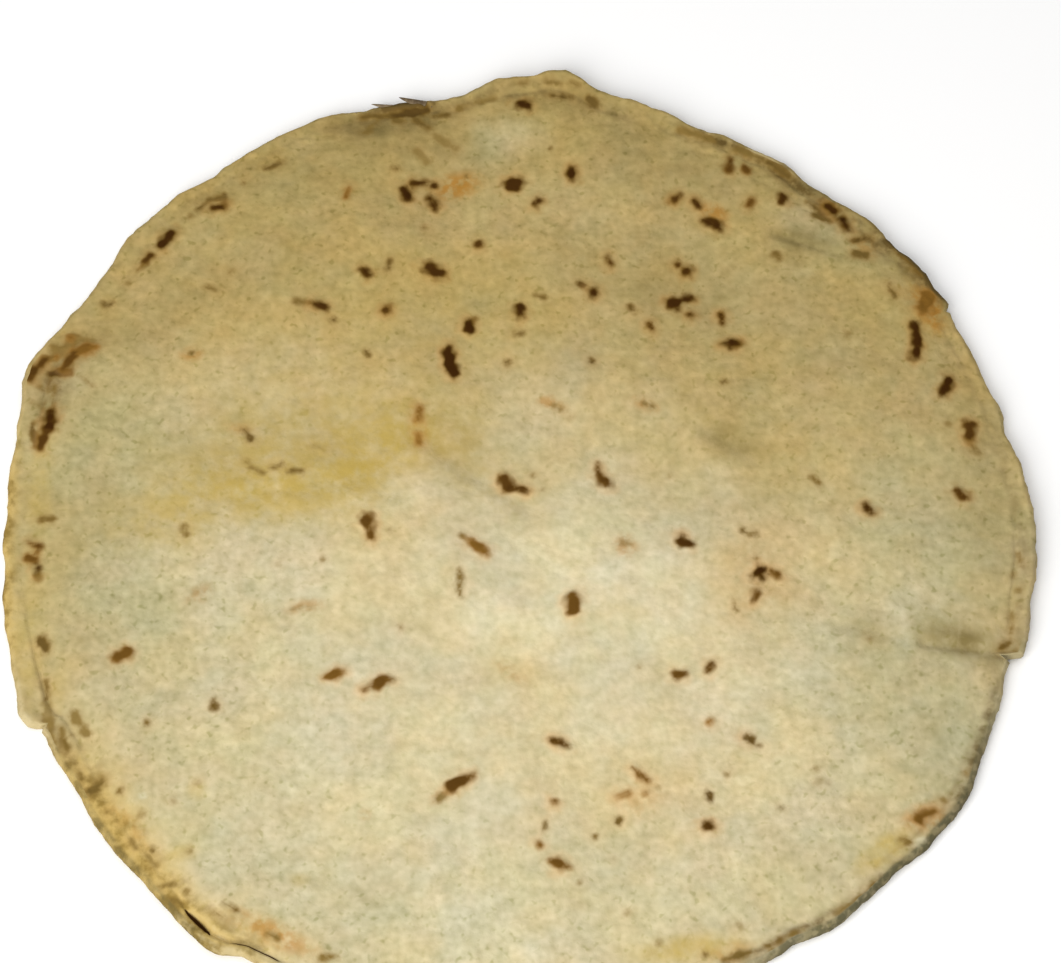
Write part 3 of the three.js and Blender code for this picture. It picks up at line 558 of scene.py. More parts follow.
class BreadMesh:
    """Rings of points from the middle of the top, over the edge, to the middle of the underside."""

    def __init__(self, solid):
        self.solid = solid
        self.edge = Edge(solid)
        self.level = solid.height(0.0, 0.0, True)
        self.grid = SkinGrid(solid, self.level)
        self.rings = []
        self.add_skin()
        self.add_ledge()
        self.add_side()
        self.add_base()
        self.x = self.column("x", 0.0, 0.0)
        self.y = self.column("y", 0.0, 0.0)
        self.z = self.column("z", self.level, 0.0)
        self.bearing = self.column("bearing", 0.0, 0.0)
        self.inset = self.column("inset", MIDDLE_INSET, MIDDLE_INSET)
        kind = self.column("kind", "top", "base")
        self.top = kind == "top"
        self.side = kind == "side"
        self.base = kind == "base"

    def add_ring(self, x, y, z, bearing, kind, inset):
        kinds = np.full(len(x), kind)
        self.rings.append({"x": x, "y": y, "z": z, "bearing": bearing, "kind": kinds, "inset": inset})

    def column(self, key, top_middle, base_middle):
        """One value for every point, with the two middle points at the end."""
        return np.concatenate([*[ring[key] for ring in self.rings], [top_middle, base_middle]])

    def even_rings(self, start, spacing):
        """Rings of evenly spaced points from the middle out to an inset of start."""
        reach = float(np.mean(self.edge.smooth)) - start
        steps = round(reach / spacing)
        for step in range(1, steps + 1):
            share = step / steps
            count = max(FEWEST_POINTS, round(2 * math.pi * share * reach / spacing))
            bearings = np.arange(count) * 360.0 / count
            edge = self.edge.smooth_radius(bearings)
            r = share * (edge - start)
            yield r * np.cos(np.radians(bearings)), r * np.sin(np.radians(bearings)), bearings, edge - r

    def add_skin(self):
        for x, y, bearings, inset in self.even_rings(SKIN_START, SKIN_SPACING):
            self.add_ring(x, y, self.skin_height(x, y, inset), bearings, "top", inset)

    def skin_height(self, x, y, inset):
        """Smoothed heights inside, and the solid's own heights close to the ledge."""
        smooth = self.grid.at(x, y)
        close = inset < SMOOTH_SKIN[1]
        if not close.any():
            return smooth
        exact = smooth.copy()
        exact[close] = [self.solid.height(a, b, True) or self.level for a, b in zip(x[close], y[close])]
        share = smoothstep(*SMOOTH_SKIN, inset)
        return blurred_round(exact, SKIN_SIGMA) * (1 - share) + smooth * share

    def ring_heights(self, x, y, from_above):
        heights = [self.solid.height(a, b, from_above) for a, b in zip(x, y)]
        known = np.array([np.nan if h is None else h for h in heights])
        gaps = np.isnan(known)
        known[gaps] = np.interp(np.nonzero(gaps)[0], np.nonzero(~gaps)[0], known[~gaps])
        return blurred_round(known, LEDGE_SIGMA)

    def add_level_ring(self, inset, kind):
        x, y = self.edge.ring(inset)
        z = self.ring_heights(x, y, kind == "top")
        self.add_ring(x, y, z, self.edge.bearings, kind, np.full(len(x), inset))

    def add_ledge(self):
        for inset in sorted(RIM_INSETS, reverse=True):
            self.add_level_ring(inset, "top")

    def add_side(self):
        """A rounded side between the ledge's top and the underside, crumbly and split into layers."""
        x, y = self.edge.ring(EDGE_ROUND)
        top = self.ring_heights(x, y, True)
        base = self.ring_heights(x, y, False)
        for angle in EDGE_ANGLES:
            lean = math.radians(angle)
            layers = roughness(LAYER_STRETCH * x, LAYER_STRETCH * y + LAYER_STEP * angle, SIDE_LAYERS)
            rough = np.maximum(layers, 0.0) + roughness(x, y + CRUMBLE_STEP * angle, SIDE_CRUMBLE)
            inset = EDGE_ROUND * (1.0 - math.cos(lean)) + rough * math.cos(lean)
            ring_x, ring_y = self.edge.ring(inset)
            z = (top + base) / 2 + (top - base) / 2 * math.sin(lean)
            kind = "side" if angle > UNDERSIDE_ANGLE else "base"
            self.add_ring(ring_x, ring_y, z, self.edge.bearings, kind, inset)

    def add_base(self):
        for inset in BASE_INSETS:
            self.add_level_ring(inset, "base")
        inner_rings = list(self.even_rings(BASE_INSETS[-1] + BASE_SPACING, BASE_SPACING))
        for x, y, bearings, inset in reversed(inner_rings):
            z = np.array([self.solid.height(a, b, False) or 0.0 for a, b in zip(x, y)])
            self.add_ring(x, y, z, bearings, "base", inset)

    def faces(self):
        counts = [len(ring["x"]) for ring in self.rings]
        starts = [int(start) for start in np.cumsum([0] + counts)]
        top_middle = starts[-1]
        base_middle = top_middle + 1
        found = fan(0, counts[0], top_middle, True)
        for i in range(len(self.rings) - 1):
            found += stitch(self.rings[i]["bearing"], self.rings[i + 1]["bearing"], starts[i], starts[i + 1])
        return found + fan(starts[-2], counts[-1], base_middle, False)


def fan(start, count, middle, upward):
    pairs = [(start + i, start + (i + 1) % count) for i in range(count)]
    return [(middle, a, b) if upward else (middle, b, a) for a, b in pairs]


def stitch(first, second, first_start, second_start):
    """Triangles between two rings of points, which may differ in number."""
    faces = []
    i = 0
    j = 0
    ahead_first = np.append(first[1:], 360.0)
    ahead_second = np.append(second[1:], 360.0)
    while i < len(first) or j < len(second):
        along_first = j >= len(second) or (i < len(first) and ahead_first[i] < ahead_second[j])
        a = first_start + i % len(first)
        b = second_start + j % len(second)
        if along_first:
            i += 1
            faces.append((a, b, first_start + i % len(first)))
        else:
            j += 1
            faces.append((a, b, second_start + j % len(second)))
    return faces


def stroke_distance(x, y, strokes):
    """Distance from the nearest stroke, negative inside it, with its tone and its half width there."""
    nearest = np.full(len(x), FURTHEST_MARK)
    tone = np.zeros(len(x))
    size = np.zeros(len(x))
    for s in strokes:
        dx = s.x1 - s.x0
        dy = s.y1 - s.y0
        square = max(dx * dx + dy * dy, LEAST_SQUARE)
        share = np.clip(((x - s.x0) * dx + (y - s.y0) * dy) / square, 0.0, 1.0)
        half_width = s.r0 + (s.r1 - s.r0) * share
        away = np.hypot(x - s.x0 - share * dx, y - s.y0 - share * dy) - half_width
        closer = away < nearest
        nearest[closer] = away[closer]
        tone[closer] = s.tone
        size[closer] = half_width[closer]
    return nearest, tone, size


def patch_field(x, y, kinds):
    """Strength of the patches at each point."""
    total = np.zeros(len(x))
    drift_x, drift_y = [value_noise(x, y, WANDER_CELL, seed) for seed in WANDER_SEEDS]
    for p in kinds:
        wander = PATCH_WANDER * min(p.length, p.width, LARGEST_WANDER)
        dx = x - p.x + wander * drift_x
        dy = y - p.y + wander * drift_y
        cosine = math.cos(math.radians(p.turn))
        sine = math.sin(math.radians(p.turn))
        out = np.hypot((dx * cosine + dy * sine) / p.length, (dy * cosine - dx * sine) / p.width)
        total += p.strength * smoothstep(1.0 + p.soft, 1.0 - p.soft, out)
    return total


def from_middle(x, y, middle):
    return np.hypot(x - middle[0], y - middle[1])


def paleness_and_painted_light(x, y):
    # Painted light: paler towards the near half, with the dough's own pale patches added
    near = NEAR_PAINTED_LIGHT * smoothstep(*NEAR_LIGHT_RAMP, y)
    border = smoothstep(*BORDER_RAMP, from_middle(x, y, PALE_MIDDLE))
    return np.clip(near * (1.0 - BORDER_LOSS * border) + patch_field(x, y, PALE_PATCHES), 0.0, 1.0)


def branness(x, y):
    return 1.0 - BRAN_LOSS * smoothstep(*BRAN_RAMP, from_middle(x, y, BRAN_MIDDLE))


def fine_relief(x, y):
    """Low lumps, wrinkles and grain of the skin, too fine for the solid."""
    askew = WRINKLE_ALONG * x + WRINKLE_SKEW * y
    wrinkles = np.abs(value_noise(askew, WRINKLE_ACROSS * y, WRINKLES.cell, WRINKLES.seed))
    bumps = roughness(x, y, *LUMPS) + roughness(x, y, *GRAIN)
    return bumps - WRINKLES.depth * (1.0 - wrinkles) ** WRINKLE_SHARPNESS


def fold_depth(x, y):
    depth = np.zeros(len(x))
    for f in FOLDS:
        away = stroke_distance(x, y, [Stroke(f.x0, f.y0, f.x1, f.y1, 0.0, 0.0, 1.0)])[0]
        depth = np.maximum(depth, f.depth * smoothstep(f.half_width, 0.0, away))
    return depth


def slit_depth(bearing, inset):
    depth = np.zeros(len(bearing))
    for s in SLITS:
        middle = (s.start + s.end) / 2
        share = bearing_gap(bearing, middle) / ((s.end - s.start) / 2)
        half_width = s.half_width * np.sqrt(np.clip(1.0 - share**2, SLIT_TIP_SQUARE, 1.0))
        profile = np.clip(1.0 - np.abs(inset - s.inset) / half_width, 0.0, 1.0)
        depth = np.maximum(depth, s.depth * smoothstep(*SLIT_END_RAMP, share) * profile)
    return depth


def along_arc(bearing, arc):
    return smoothstep(*ARC_RAMP, bearing_gap(bearing, arc.bearing) / arc.half_width)


def strongest(bearing, arcs, strength):
    """The strongest of the arcs at each point, each of which fades towards its ends."""
    return np.max([strength(arc) * along_arc(bearing, arc) for arc in arcs], axis=0)


def border_strength(inset, width):
    """Full over the outer half of the width, and fading out over the inner half."""
    return smoothstep(width, 0.5 * width, inset)


def scattered(seed, count, reach):
    """Random places under the bread, the same on every run, each with the generator for its other draws."""
    draw = np.random.default_rng(seed)
    for _ in range(count):
        r = reach * math.sqrt(draw.random())
        turn = 2 * math.pi * draw.random()
        yield r * math.cos(turn), r * math.sin(turn), draw


def underside_marks():
    """Scorch marks under the bread, which the photo doesn't show, like those on top."""
    marks = []
    for x, y, draw in scattered(seed=12, count=95, reach=104.0):
        lean = math.pi * draw.random()
        length = 3.2 * draw.random() ** 2
        width = draw.uniform(0.45, 1.2)
        tone = draw.uniform(0.75, 1.0)
        end_x = x + length * math.cos(lean)
        end_y = y + length * math.sin(lean)
        marks.append(Stroke(x, y, end_x, end_y, width, 0.8 * width, tone))
    return marks


def underside_patches():
    """Browned patches under the bread, where it lay on the griddle."""
    found = []
    for x, y, draw in scattered(seed=7, count=34, reach=96.0):
        length = draw.uniform(4.0, 16.0)
        width = length * draw.uniform(0.35, 0.75)
        strength = draw.uniform(0.15, 0.55)
        found.append(Patch(x, y, length, width, 180 * draw.random(), strength))
    return found


def crease_inset(bread):
    """Where the crease lies at each bearing: the lowest place between the ledge and the skin."""
    low, high = CREASE_INSETS
    rim = [r for r in bread.rings if r["kind"][0] == "top" and len(r["x"]) == RIM_BEARINGS]
    ledge = [r for r in rim if low < r["inset"][0] < high]
    lowest = np.argmin([r["z"] for r in ledge], axis=0)
    return blurred_round(np.array([r["inset"][0] for r in ledge])[lowest], CREASE_SIGMA)


def mark_fields(bread):
    """For both layers of marks: the distance from the nearest, its tone, and how far its border wanders."""
    burns = stroke_distance(bread.x, bread.y, as_strokes(BURN_STROKES, BURN_DOTS, BURN_LENSES))
    browns = stroke_distance(bread.x, bread.y, as_strokes(BROWN_STROKES, BROWN_DOTS, BROWN_LENSES))
    unders = stroke_distance(bread.x, bread.y, underside_marks())
    burns = [np.where(bread.base, under, burn) for under, burn in zip(unders, burns)]
    burns[0][bread.side] = NO_MARK
    browns[0][bread.side | bread.base] = NO_MARK
    fields = {}
    for layer, (away, tone, half_width) in (("burn", burns), ("brown", browns)):
        fields[layer] = away
        fields[layer + "_tone"] = tone
        fields[layer + "_fray"] = np.minimum(LEAST_FRAY + FRAY_PER_WIDTH * half_width, MOST_FRAY)
    return fields


def skin_fields(bread):
    """How pale the dough is, how thickly the bran lies on it, and how strong each stain is."""
    fields = {name: patch_field(bread.x, bread.y, kinds) * bread.top for name, kinds in STAINS.items()}
    under = patch_field(bread.x, bread.y, underside_patches())
    # Under the bread this field holds browned patches, and on top painted shade and browning
    fields["shade_and_browning"] = np.where(bread.base, under, fields["shade_and_browning"])
    # The pale field holds the dough's paleness and the painted light of the near half
    fields["pale"] = np.where(bread.base, UNDER_PALENESS, paleness_and_painted_light(bread.x, bread.y))
    fields["bran"] = np.where(bread.base, UNDER_BRAN, branness(bread.x, bread.y))
    return fields


def rim_fields(bread):
    """What shows along the ledge and the side."""
    bearing = bread.bearing
    inset = bread.inset
    not_base = 1.0 - bread.base
    crease = np.interp(bearing, bread.edge.bearings, crease_inset(bread))
    crease_line = np.exp(-(((inset - crease) / CREASE_LINE_WIDTH) ** 2))
    # Painted black shade inside the slits, over their real cut
    slit = np.clip(slit_depth(bearing, inset) / SLIT_SHADE_DEPTH, 0.0, 1.0)

    def arc_strength(arcs):
        return strongest(bearing, arcs, lambda arc: arc.strength)

    def band_strength(band):
        return band.strength * np.exp(-(((inset - band.inset) / band.spread) ** 2))

    def toasted(key):
        outside = np.maximum(inset, 0.0)
        return lambda toast: getattr(toast, key) * np.exp(-((outside / toast.reach) ** 2))

    return {
        "gold": strongest(bearing, TOASTED_STRETCHES, toasted("gold")) * not_base,
        "char": strongest(bearing, TOASTED_STRETCHES, toasted("char")) * not_base,
        "umber": strongest(bearing, UMBER_BANDS, band_strength) * not_base,
        # Painted shade on the side and the outer top of the edge
        "shade": border_strength(inset, SIDE_SHADE_REACH) * arc_strength(SHADED_SIDES) * not_base,
        "lip": border_strength(inset, LIP_WIDTH) * arc_strength(PALE_LIPS) * not_base,
        "crease": crease_line * arc_strength(BROWN_CREASES) * bread.top,
        "slit": slit * bread.top,
    }


def top_relief(bread, burn):
    """The finer forms of the top, added to the solid's heights."""
    x = bread.x
    y = bread.y
    relief = fine_relief(x, y) * smoothstep(*RELIEF_RAMP, bread.inset)
    relief += BLISTER_HEIGHT * smoothstep(*BLISTER_RAMP, burn)
    relief -= slit_depth(bread.bearing, bread.inset) + fold_depth(x, y)
    return relief + roughness(x, y, *LEDGE_CRUMBLE) * smoothstep(*CRUMBLE_RAMP, bread.inset)


def build_bread(solid):
    bread = BreadMesh(solid)
    marks = mark_fields(bread)
    top = bread.z + top_relief(bread, marks["burn"])
    base = np.maximum(bread.z + np.abs(roughness(bread.x, bread.y, BASE_CRUMBLE)), 0.0)
    z = np.where(bread.top, top, np.where(bread.base, base, bread.z))
    fields = {**marks, **skin_fields(bread), **rim_fields(bread)}
    return make_piece("bhakri_bread", np.column_stack([bread.x, bread.y, z]), bread.faces(), fields)


def make_piece(name, points, faces, fields):
    mesh = bpy.data.meshes.new(name)
    mesh.from_pydata((points * MM).tolist(), [], faces)
    for key, values in fields.items():
        attribute = mesh.attributes.new(key, "FLOAT", "POINT")
        attribute.data.foreach_set("value", np.ascontiguousarray(values, dtype=np.float32))
    mesh.polygons.foreach_set("use_smooth", np.ones(len(mesh.polygons), dtype=bool))
    mesh.update()
    piece = bpy.data.objects.new(name, mesh)
    bpy.context.scene.collection.objects.link(piece)
    return piece


def sliver_points(sliver):
    """Rings round a sliver, from its root to a fine tip that curls up a little."""
    root = np.array([sliver.x0, sliver.y0])
    along = np.array([sliver.x1, sliver.y1]) - root
    across = np.array([-along[1], along[0]]) / np.linalg.norm(along)
    points = []
    for k in range(SLIVER_STEPS + 1):
        share = k / SLIVER_STEPS
        half = sliver.half_width * (1.0 - share) ** SLIVER_TAPER + SLIVER_TIP
        for turn in np.arange(SLIVER_SIDES) * 2 * math.pi / SLIVER_SIDES:
            xy = root + along * share + across * half * math.cos(turn)
            lift = SLIVER_CURL * share**2 + SLIVER_FLATNESS * half * math.sin(turn)
            points.append((*xy, sliver.z + lift))
    return points


def sliver_faces(start):
    faces = []
    for k in range(SLIVER_STEPS):
        row = start + k * SLIVER_SIDES
        for q in range(SLIVER_SIDES):
            a = row + q
            b = row + (q + 1) % SLIVER_SIDES
            faces.append((a, a + SLIVER_SIDES, b + SLIVER_SIDES, b))
    tip = start + SLIVER_STEPS * SLIVER_SIDES
    faces.append(tuple(start + q for q in range(SLIVER_SIDES)))
    faces.append(tuple(tip + q for q in reversed(range(SLIVER_SIDES))))
    return faces


def build_slivers():
    points = []
    faces = []
    for sliver in SLIVERS:
        faces += sliver_faces(len(points))
        points += sliver_points(sliver)
    return make_piece("rim_slivers", np.array(points), faces, {})


def srgb(red, green, blue):
    """A colour as seen on a screen, 0 to 255, as the linear values that a shader takes."""
    shares = [c / 255 for c in (red, green, blue)]
    linear = [s / 12.92 if s <= 0.04045 else ((s + 0.055) / 1.055) ** 2.4 for s in shares]
    return (*linear, 1.0)


# The ends of the dough's tone, which also carry the painted light of the near half
PALE_DOUGH = srgb(207, 197, 163)
DARK_DOUGH = srgb(170, 148, 93)
GREEN_GREY = srgb(160, 154, 112)
YELLOW = srgb(180, 154, 74)
# Painted shade of folds and hollows, and browning
SHADE_AND_BROWNING = srgb(118, 103, 58)
ORANGE = srgb(164, 111, 30)
GOLD = srgb(197, 168, 98)
RUSSET = srgb(142, 117, 56)
PALE_HALO = srgb(216, 172, 118)
DARK_HALO = srgb(160, 121, 62)
OLIVE_BROWN = srgb(126, 103, 50)
PALE_OLIVE = srgb(126, 101, 48)
LIGHT_BROWN = srgb(141, 102, 38)
FAWN = srgb(157, 115, 54)
SCORCH = srgb(98, 70, 12)
# Char in the cores of burns, and painted black shade inside the slits
CHAR_AND_SLIT_SHADE = srgb(56, 30, 0)
ASH = srgb(86, 68, 42)
PALE_ASH = srgb(128, 110, 82)
LIP = srgb(200, 184, 142)
UMBER = srgb(94, 76, 38)
# Painted shade on the side of the edge
SHADE = srgb(77, 75, 53)

# What a colour is multiplied by: darker or paler, cooler or warmer, rosy or leafy dough, pink patches,
# the dark and pale ends of the grain, and bran
DIM_TINT = (0.9, 0.9, 0.89, 1.0)
BRIGHT_TINT = (1.1, 1.1, 1.11, 1.0)
COOL_TINT = (0.985, 1.0, 1.045, 1.0)
WARM_TINT = (1.01, 1.0, 0.935, 1.0)
ROSY_TINT = (1.02, 0.99, 0.96, 1.0)
LEAFY_TINT = (0.98, 1.005, 1.005, 1.0)
PINK_TINT = (1.02, 0.91, 0.74, 1.0)
DARK_GRAIN = (0.6, 0.61, 0.48, 1.0)
PALE_GRAIN = (1.4, 1.39, 1.54, 1.0)
BRAN = (0.68, 0.7, 0.55, 1.0)

# A layer of marks: its lightest colour, its border's colour, how far it flakes there, and its halo's strength
Scorch = namedtuple("Scorch", "layer light border flaking halo")
MARK_KINDS = (
    Scorch("brown", OLIVE_BROWN, PALE_OLIVE, 0.7, 0.5),
    Scorch("burn", LIGHT_BROWN, FAWN, 0.25, 1.0),
)
HALO_STRENGTH = 0.6
STAIN_STRENGTH = 0.8
SHADE_STRENGTH = 0.8
GREEN_STRENGTH = 0.8
# How deep the grain is, and what bran adds to that
GRAIN_DEPTH = 0.68
BRAN_DEPTH = 0.3
SPECK_GAIN = 14.0
STRONGEST_SPECK = 0.75
# The coarse and the fine noise that fray the borders of marks
COARSE_FRAY = 2.4
FINE_FRAY = 2.0
# Marks are slimmer on pale dough than on dark by this much, where the paleness also holds the near half's
# painted light
SLIMMING = 0.2
# The mean of a noise, the size of its bumps at scale 1, and the direction in which it is shifted
NOISE_MEAN = 0.5
NOISE_BUMP = 0.6
SHIFT_DIRECTION = (1.0, 0.7, 0.3)


class Shader:
    """A material's node tree, with short names for the few kinds of node that it needs."""

    # The colour sockets of a mix node, whose names its other sockets share
    MIX_A = 6
    MIX_B = 7
    MIX_RESULT = 2

    def __init__(self, name, roughness, specular):
        self.material = bpy.data.materials.new(name)
        self.material.use_nodes = True
        self.tree = self.material.node_tree
        self.bsdf = self.tree.nodes["Principled BSDF"]
        self.bsdf.inputs["Roughness"].default_value = roughness
        self.bsdf.inputs["Specular IOR Level"].default_value = specular
        self.place = self.tree.nodes.new("ShaderNodeTexCoord").outputs["Object"]

    def put(self, socket, value):
        if isinstance(value, bpy.types.NodeSocket):
            self.tree.links.new(value, socket)
        else:
            socket.default_value = value

    def paint(self, colour):
        self.put(self.bsdf.inputs["Base Color"], colour)

    def node(self, kind, output, inputs, **settings):
        """The output of a new node, with its settings and inputs filled in."""
        node = self.tree.nodes.new("ShaderNode" + kind)
        for key, value in settings.items():
            setattr(node, key, value)
        for key, value in inputs.items():
            self.put(node.inputs[key], value)
        return node.outputs[output]

    def attribute(self, name):
        return self.node("Attribute", "Fac", {}, attribute_name=name)

    def noise(self, feature, detail, shift, ramp=None, gain=1.0, base=0.0):
        """Noise with bumps about feature millimetres across, sharpened by the ramp, times gain plus base."""
        move = [part * shift for part in SHIFT_DIRECTION]
        place = self.node("Mapping", "Vector", {"Vector": self.place, "Location": move})
        scale = NOISE_BUMP / (feature * MM)
        value = self.node("TexNoise", "Fac", {"Vector": place, "Scale": scale, "Detail": detail})
        if ramp:
            value = self.ramp(value, *ramp)
        return self.add(self.times(value, gain), base)

    def math(self, operation, a, b):
        return self.node("Math", "Value", {0: a, 1: b}, operation=operation)

    def add(self, a, b):
        return self.math("ADD", a, b)

    def times(self, a, b):
        return self.math("MULTIPLY", a, b)

    def ramp(self, value, start, end):
        """0 at start and 1 at end, with a smooth run between them."""
        falling = start > end
        reach = {"From Min": min(start, end), "From Max": max(start, end)}
        heights = {"To Min": float(falling), "To Max": float(not falling)}
        inputs = {"Value": value, **reach, **heights}
        return self.node("MapRange", "Result", inputs, interpolation_type="SMOOTHSTEP")

    def mix(self, share, a, b, blend="MIX"):
        inputs = {"Factor": share, self.MIX_A: a, self.MIX_B: b}
        return self.node("Mix", self.MIX_RESULT, inputs, data_type="RGBA", blend_type=blend)

    def tint(self, share, colour, factor):
        return self.mix(share, colour, factor, "MULTIPLY")

    def bump(self, height, depth):
        """Relief of that depth in millimetres for a height from 0 to 1."""
        normal = self.node("Bump", "Normal", {"Height": height, "Distance": depth * MM})
        self.put(self.bsdf.inputs["Normal"], normal)


def dough_colour(sh):
    """The baked dough, in uneven patches of warm and green beige."""
    # The pale field holds the dough's tone and the painted light of the near half
    colour = sh.mix(sh.attribute("pale"), DARK_DOUGH, PALE_DOUGH)
    green_clouds = sh.noise(9, 3.0, 3.1, ramp=(0.48, 0.68), gain=0.16)
    green = sh.add(sh.times(sh.attribute("green"), GREEN_STRENGTH), green_clouds)
    colour = sh.mix(green, colour, GREEN_GREY)
    pink_clouds = sh.noise(7, 3.0, 7.7, ramp=(0.5, 0.72), gain=0.2)
    pink_clouds = sh.times(pink_clouds, sh.ramp(sh.attribute("green"), 0.35, 0.0))
    colour = sh.tint(sh.add(sh.attribute("pink"), pink_clouds), colour, PINK_TINT)
    light_clouds = sh.noise(6, 2.0, 16.4)
    warm_clouds = sh.noise(8, 2.0, 11.3, ramp=(0.3, 0.7))
    leafy_clouds = sh.noise(4.2, 2.0, 14.2, ramp=(0.3, 0.7))
    colour = sh.tint(1.0, colour, sh.mix(light_clouds, DIM_TINT, BRIGHT_TINT))
    colour = sh.tint(1.0, colour, sh.mix(warm_clouds, COOL_TINT, WARM_TINT))
    return sh.tint(1.0, colour, sh.mix(leafy_clouds, ROSY_TINT, LEAFY_TINT))


def branny(sh, colour):
    """A fine grain, deeper where bran lies, and sparse specks of bran where the peaks of two noises meet."""
    bran = sh.attribute("bran")
    fine = sh.add(sh.noise(0.75, 0.0, 2.2, gain=0.36), sh.noise(1.5, 0.0, 5.9, gain=0.4))
    grain = sh.add(fine, sh.noise(3.2, 1.0, 8.8, gain=0.24, base=-NOISE_MEAN))
    depth = sh.add(sh.times(bran, BRAN_DEPTH), GRAIN_DEPTH)
    grain = sh.add(sh.times(grain, depth), NOISE_MEAN)
    colour = sh.tint(1.0, colour, sh.mix(grain, DARK_GRAIN, PALE_GRAIN))
    noises = [sh.noise(feature, 0.0, shift, base=-NOISE_MEAN) for feature, shift in ((0.62, 4.6), (1.0, 6.1))]
    peaks = [sh.math("MAXIMUM", noise, 0.0) for noise in noises]
    specks = sh.math("MINIMUM", sh.times(sh.times(*peaks), SPECK_GAIN), STRONGEST_SPECK)
    return sh.tint(sh.times(specks, bran), colour, BRAN)


def stained(sh, colour):
    """Toasted patches and patches of painted shade, with their borders broken up."""
    ragged = sh.noise(2.6, 4.0, 6.4, ramp=(0.28, 0.66), gain=0.6, base=0.4)
    flecked = sh.noise(1.3, 2.0, 4.2, ramp=(0.34, 0.62), gain=0.75, base=0.25)
    stains = (("yellow", YELLOW, ragged), ("shade_and_browning", SHADE_AND_BROWNING, ragged), ("orange", ORANGE, flecked))
    for name, stain, border in stains:
        strength = sh.times(sh.times(sh.attribute(name), border), STAIN_STRENGTH)
        colour = sh.mix(strength, colour, stain)
    return colour


def toasted_rim(sh, colour):
    """The ledge: golden and russet flakes, charred stretches, painted shade on the side, brown creases, pale
    lips, and slits with painted black shade inside.
    """
    flakes = sh.noise(2.4, 4.0, 5.2)
    crumbs = sh.noise(1.2, 2.0, 9.7, ramp=(0.36, 0.6), gain=0.4, base=0.7)
    toast = sh.mix(sh.ramp(flakes, 0.4, 0.66), GOLD, RUSSET)
    gold = sh.ramp(sh.times(sh.attribute("gold"), sh.add(flakes, 0.4)), 0.1, 0.75)
    char = sh.ramp(sh.times(sh.attribute("char"), sh.add(flakes, 0.5)), 0.2, 0.75)
    patchy = sh.add(sh.times(sh.ramp(flakes, 0.36, 0.6), 0.5), 0.53)
    umber = sh.times(sh.attribute("umber"), sh.times(patchy, crumbs))
    # Painted shade on the side of the edge, broken up a little
    shade = sh.times(sh.attribute("shade"), sh.times(crumbs, SHADE_STRENGTH))
    lip = sh.times(sh.attribute("lip"), sh.ramp(flakes, 0.62, 0.4))
    crease = sh.times(sh.attribute("crease"), sh.ramp(flakes, 0.25, 0.5))
    # Painted black shade inside the slits
    slit = sh.ramp(sh.attribute("slit"), 0.1, 0.6)
    crust = ((gold, toast), (char, ASH), (umber, UMBER), (shade, SHADE))
    seams = ((lip, LIP), (crease, SCORCH), (slit, CHAR_AND_SLIT_SHADE))
    for share, layer in crust + seams:
        colour = sh.mix(share, colour, layer)
    return colour


def mark_distance(sh, layer):
    """Distance from the border of the nearest mark, negative inside it, with the border frayed."""
    coarse = sh.noise(2.4, 0.0, 9.1, gain=COARSE_FRAY)
    fine = sh.noise(1.0, 0.0, 3.3, gain=FINE_FRAY)
    fray = sh.add(sh.add(coarse, fine), -NOISE_MEAN * (COARSE_FRAY + FINE_FRAY))
    away = sh.add(sh.attribute(layer), sh.times(fray, sh.attribute(layer + "_fray")))
    return sh.add(away, sh.add(sh.times(sh.attribute("pale"), SLIMMING), -SLIMMING / 2))


def scorched(sh, colour, kind):
    """Marks with a soft, flaking border and a warm halo: the higher the tone, the darker the mark."""
    away = mark_distance(sh, kind.layer)
    tone = sh.attribute(kind.layer + "_tone")
    uneven = sh.times(sh.noise(2.8, 2.0, 12.6, ramp=(0.2, 0.7)), kind.halo)
    halo = sh.times(sh.times(tone, HALO_STRENGTH), sh.times(uneven, sh.ramp(away, 2.6, 0.1)))
    colour = sh.mix(halo, colour, sh.mix(sh.attribute("pale"), DARK_HALO, PALE_HALO))
    holes = sh.times(sh.noise(1.5, 2.0, 6.6, ramp=(0.6, 0.34)), sh.ramp(away, -0.75, 0.35))
    core = sh.mix(sh.ramp(tone, 0.35, 1.0), kind.light, CHAR_AND_SLIT_SHADE)
    border = sh.mix(sh.ramp(tone, 0.4, 1.0), kind.border, SCORCH)
    deep = sh.ramp(away, 0.35, -0.85)
    cover = sh.times(sh.ramp(away, 1.0, -0.5), sh.ramp(tone, 0.0, 0.55))
    whole = sh.add(sh.times(holes, -kind.flaking), 1.0)
    return sh.mix(sh.times(cover, whole), colour, sh.mix(deep, border, core))


def bread_material():
    sh = Shader("baked_millet", roughness=0.85, specular=0.08)
    colour = toasted_rim(sh, stained(sh, branny(sh, dough_colour(sh))))
    for kind in MARK_KINDS:
        colour = scorched(sh, colour, kind)
    sh.paint(colour)
    sh.bump(sh.add(sh.noise(0.8, 3.0, 1.9, gain=0.6), sh.noise(2.0, 3.0, 7.1, gain=0.8)), depth=0.2)
    return sh.material


def char_material():
    sh = Shader("charred_skin", roughness=0.75, specular=0.5)
    sh.paint(sh.mix(sh.noise(1.5, 3.0, 2.7, ramp=(0.35, 0.6)), ASH, PALE_ASH))
    sh.bump(sh.noise(0.6, 3.0, 4.4), depth=0.15)
    return sh.material


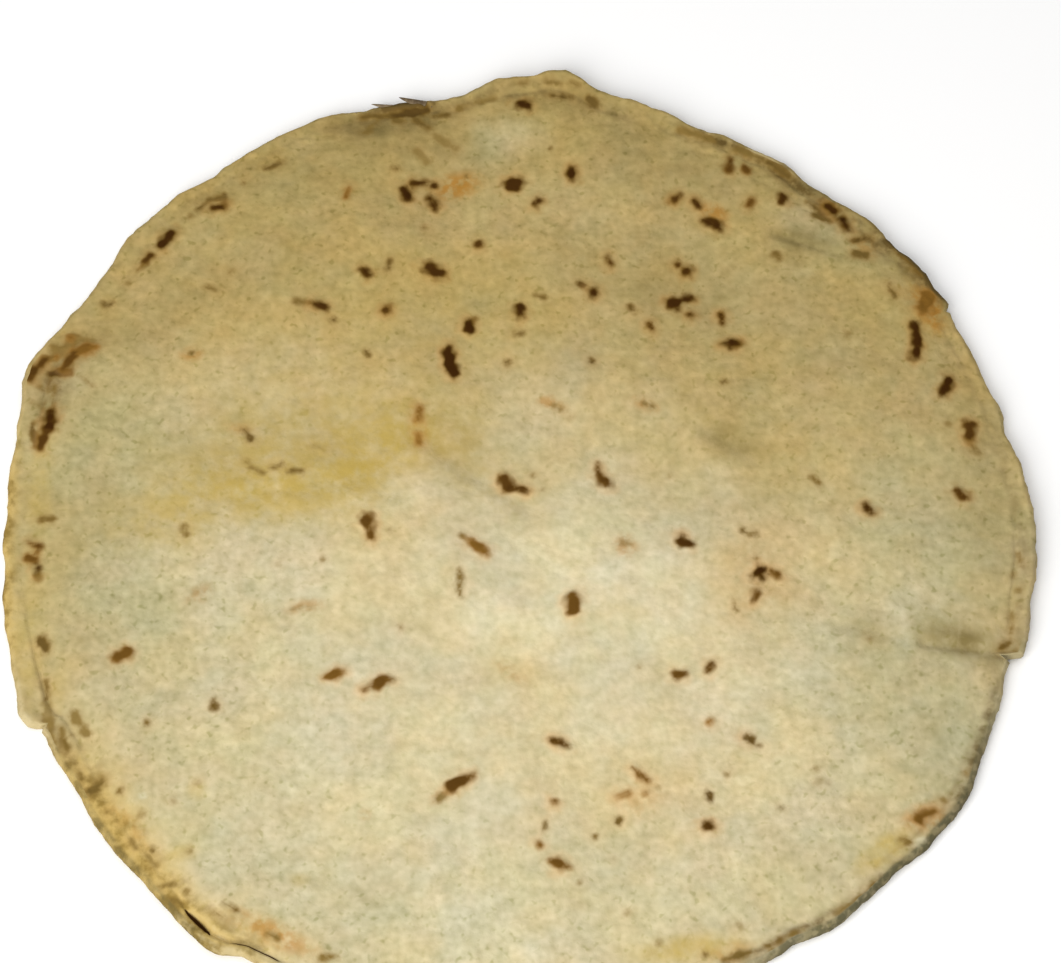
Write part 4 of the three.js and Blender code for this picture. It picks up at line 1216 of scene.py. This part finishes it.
def build_floor():
    """A pale floor just under the bread."""
    half = 1500.0
    height = -0.1
    corners = [(x, y, height) for x, y in ((-half, -half), (half, -half), (half, half), (-half, half))]
    floor = make_piece("floor", np.array(corners), [(0, 1, 2, 3)], {})
    sh = Shader("pale_floor", roughness=0.9, specular=0.0)
    sh.paint((0.95, 0.95, 0.95, 1.0))
    floor.data.materials.append(sh.material)


def add_lamp(name, place, size, watts, colour):
    """A soft square lamp that shines at the middle of the bread."""
    data = bpy.data.lights.new(name, "AREA")
    data.size = size * MM
    data.energy = watts
    data.color = colour
    lamp = bpy.data.objects.new(name, data)
    lamp.location = Vector(place) * MM
    lamp.rotation_euler = (-lamp.location).to_track_quat("-Z", "Y").to_euler()
    bpy.context.scene.collection.objects.link(lamp)


def light_scene():
    add_lamp("key", place=(-380, -620, 640), size=800, watts=9.8, colour=(1.0, 0.99, 0.97))
    add_lamp("overhead", place=(100, 150, 1000), size=900, watts=4.4, colour=(1.0, 1.0, 1.0))
    world = bpy.data.worlds.new("studio")
    world.use_nodes = True
    background = world.node_tree.nodes["Background"]
    background.inputs["Color"].default_value = (1.0, 1.0, 1.0, 1.0)
    background.inputs["Strength"].default_value = 0.26
    bpy.context.scene.world = world
    bpy.context.scene.view_settings.view_transform = "Standard"


# The photo's own view
VIEW_TARGET = (2.4, 10.5, 0.0)
VIEW_ELEVATION = 65.0
VIEW_DISTANCE = 750.0
VIEW_LENS = 117.8
VIEW_SENSOR = 36.0


def add_camera():
    lean = math.radians(VIEW_ELEVATION)
    back = Vector((0.0, -math.cos(lean), math.sin(lean)))
    data = bpy.data.cameras.new("photo_view")
    data.lens = VIEW_LENS
    data.sensor_width = VIEW_SENSOR
    camera = bpy.data.objects.new("photo_view", data)
    camera.location = (Vector(VIEW_TARGET) + back * VIEW_DISTANCE) * MM
    camera.rotation_euler = (math.pi / 2 - lean, 0.0, 0.0)
    bpy.context.scene.collection.objects.link(camera)
    bpy.context.scene.camera = camera


def dress(piece, material):
    piece.data.materials.append(material)
    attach(piece, "root")


add_camera()
light_scene()
build_floor()
bread_piece = build_bread(Solid(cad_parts["bhakri"]))
dress(bread_piece, bread_material())
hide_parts("bhakri")
dress(build_slivers(), char_material())
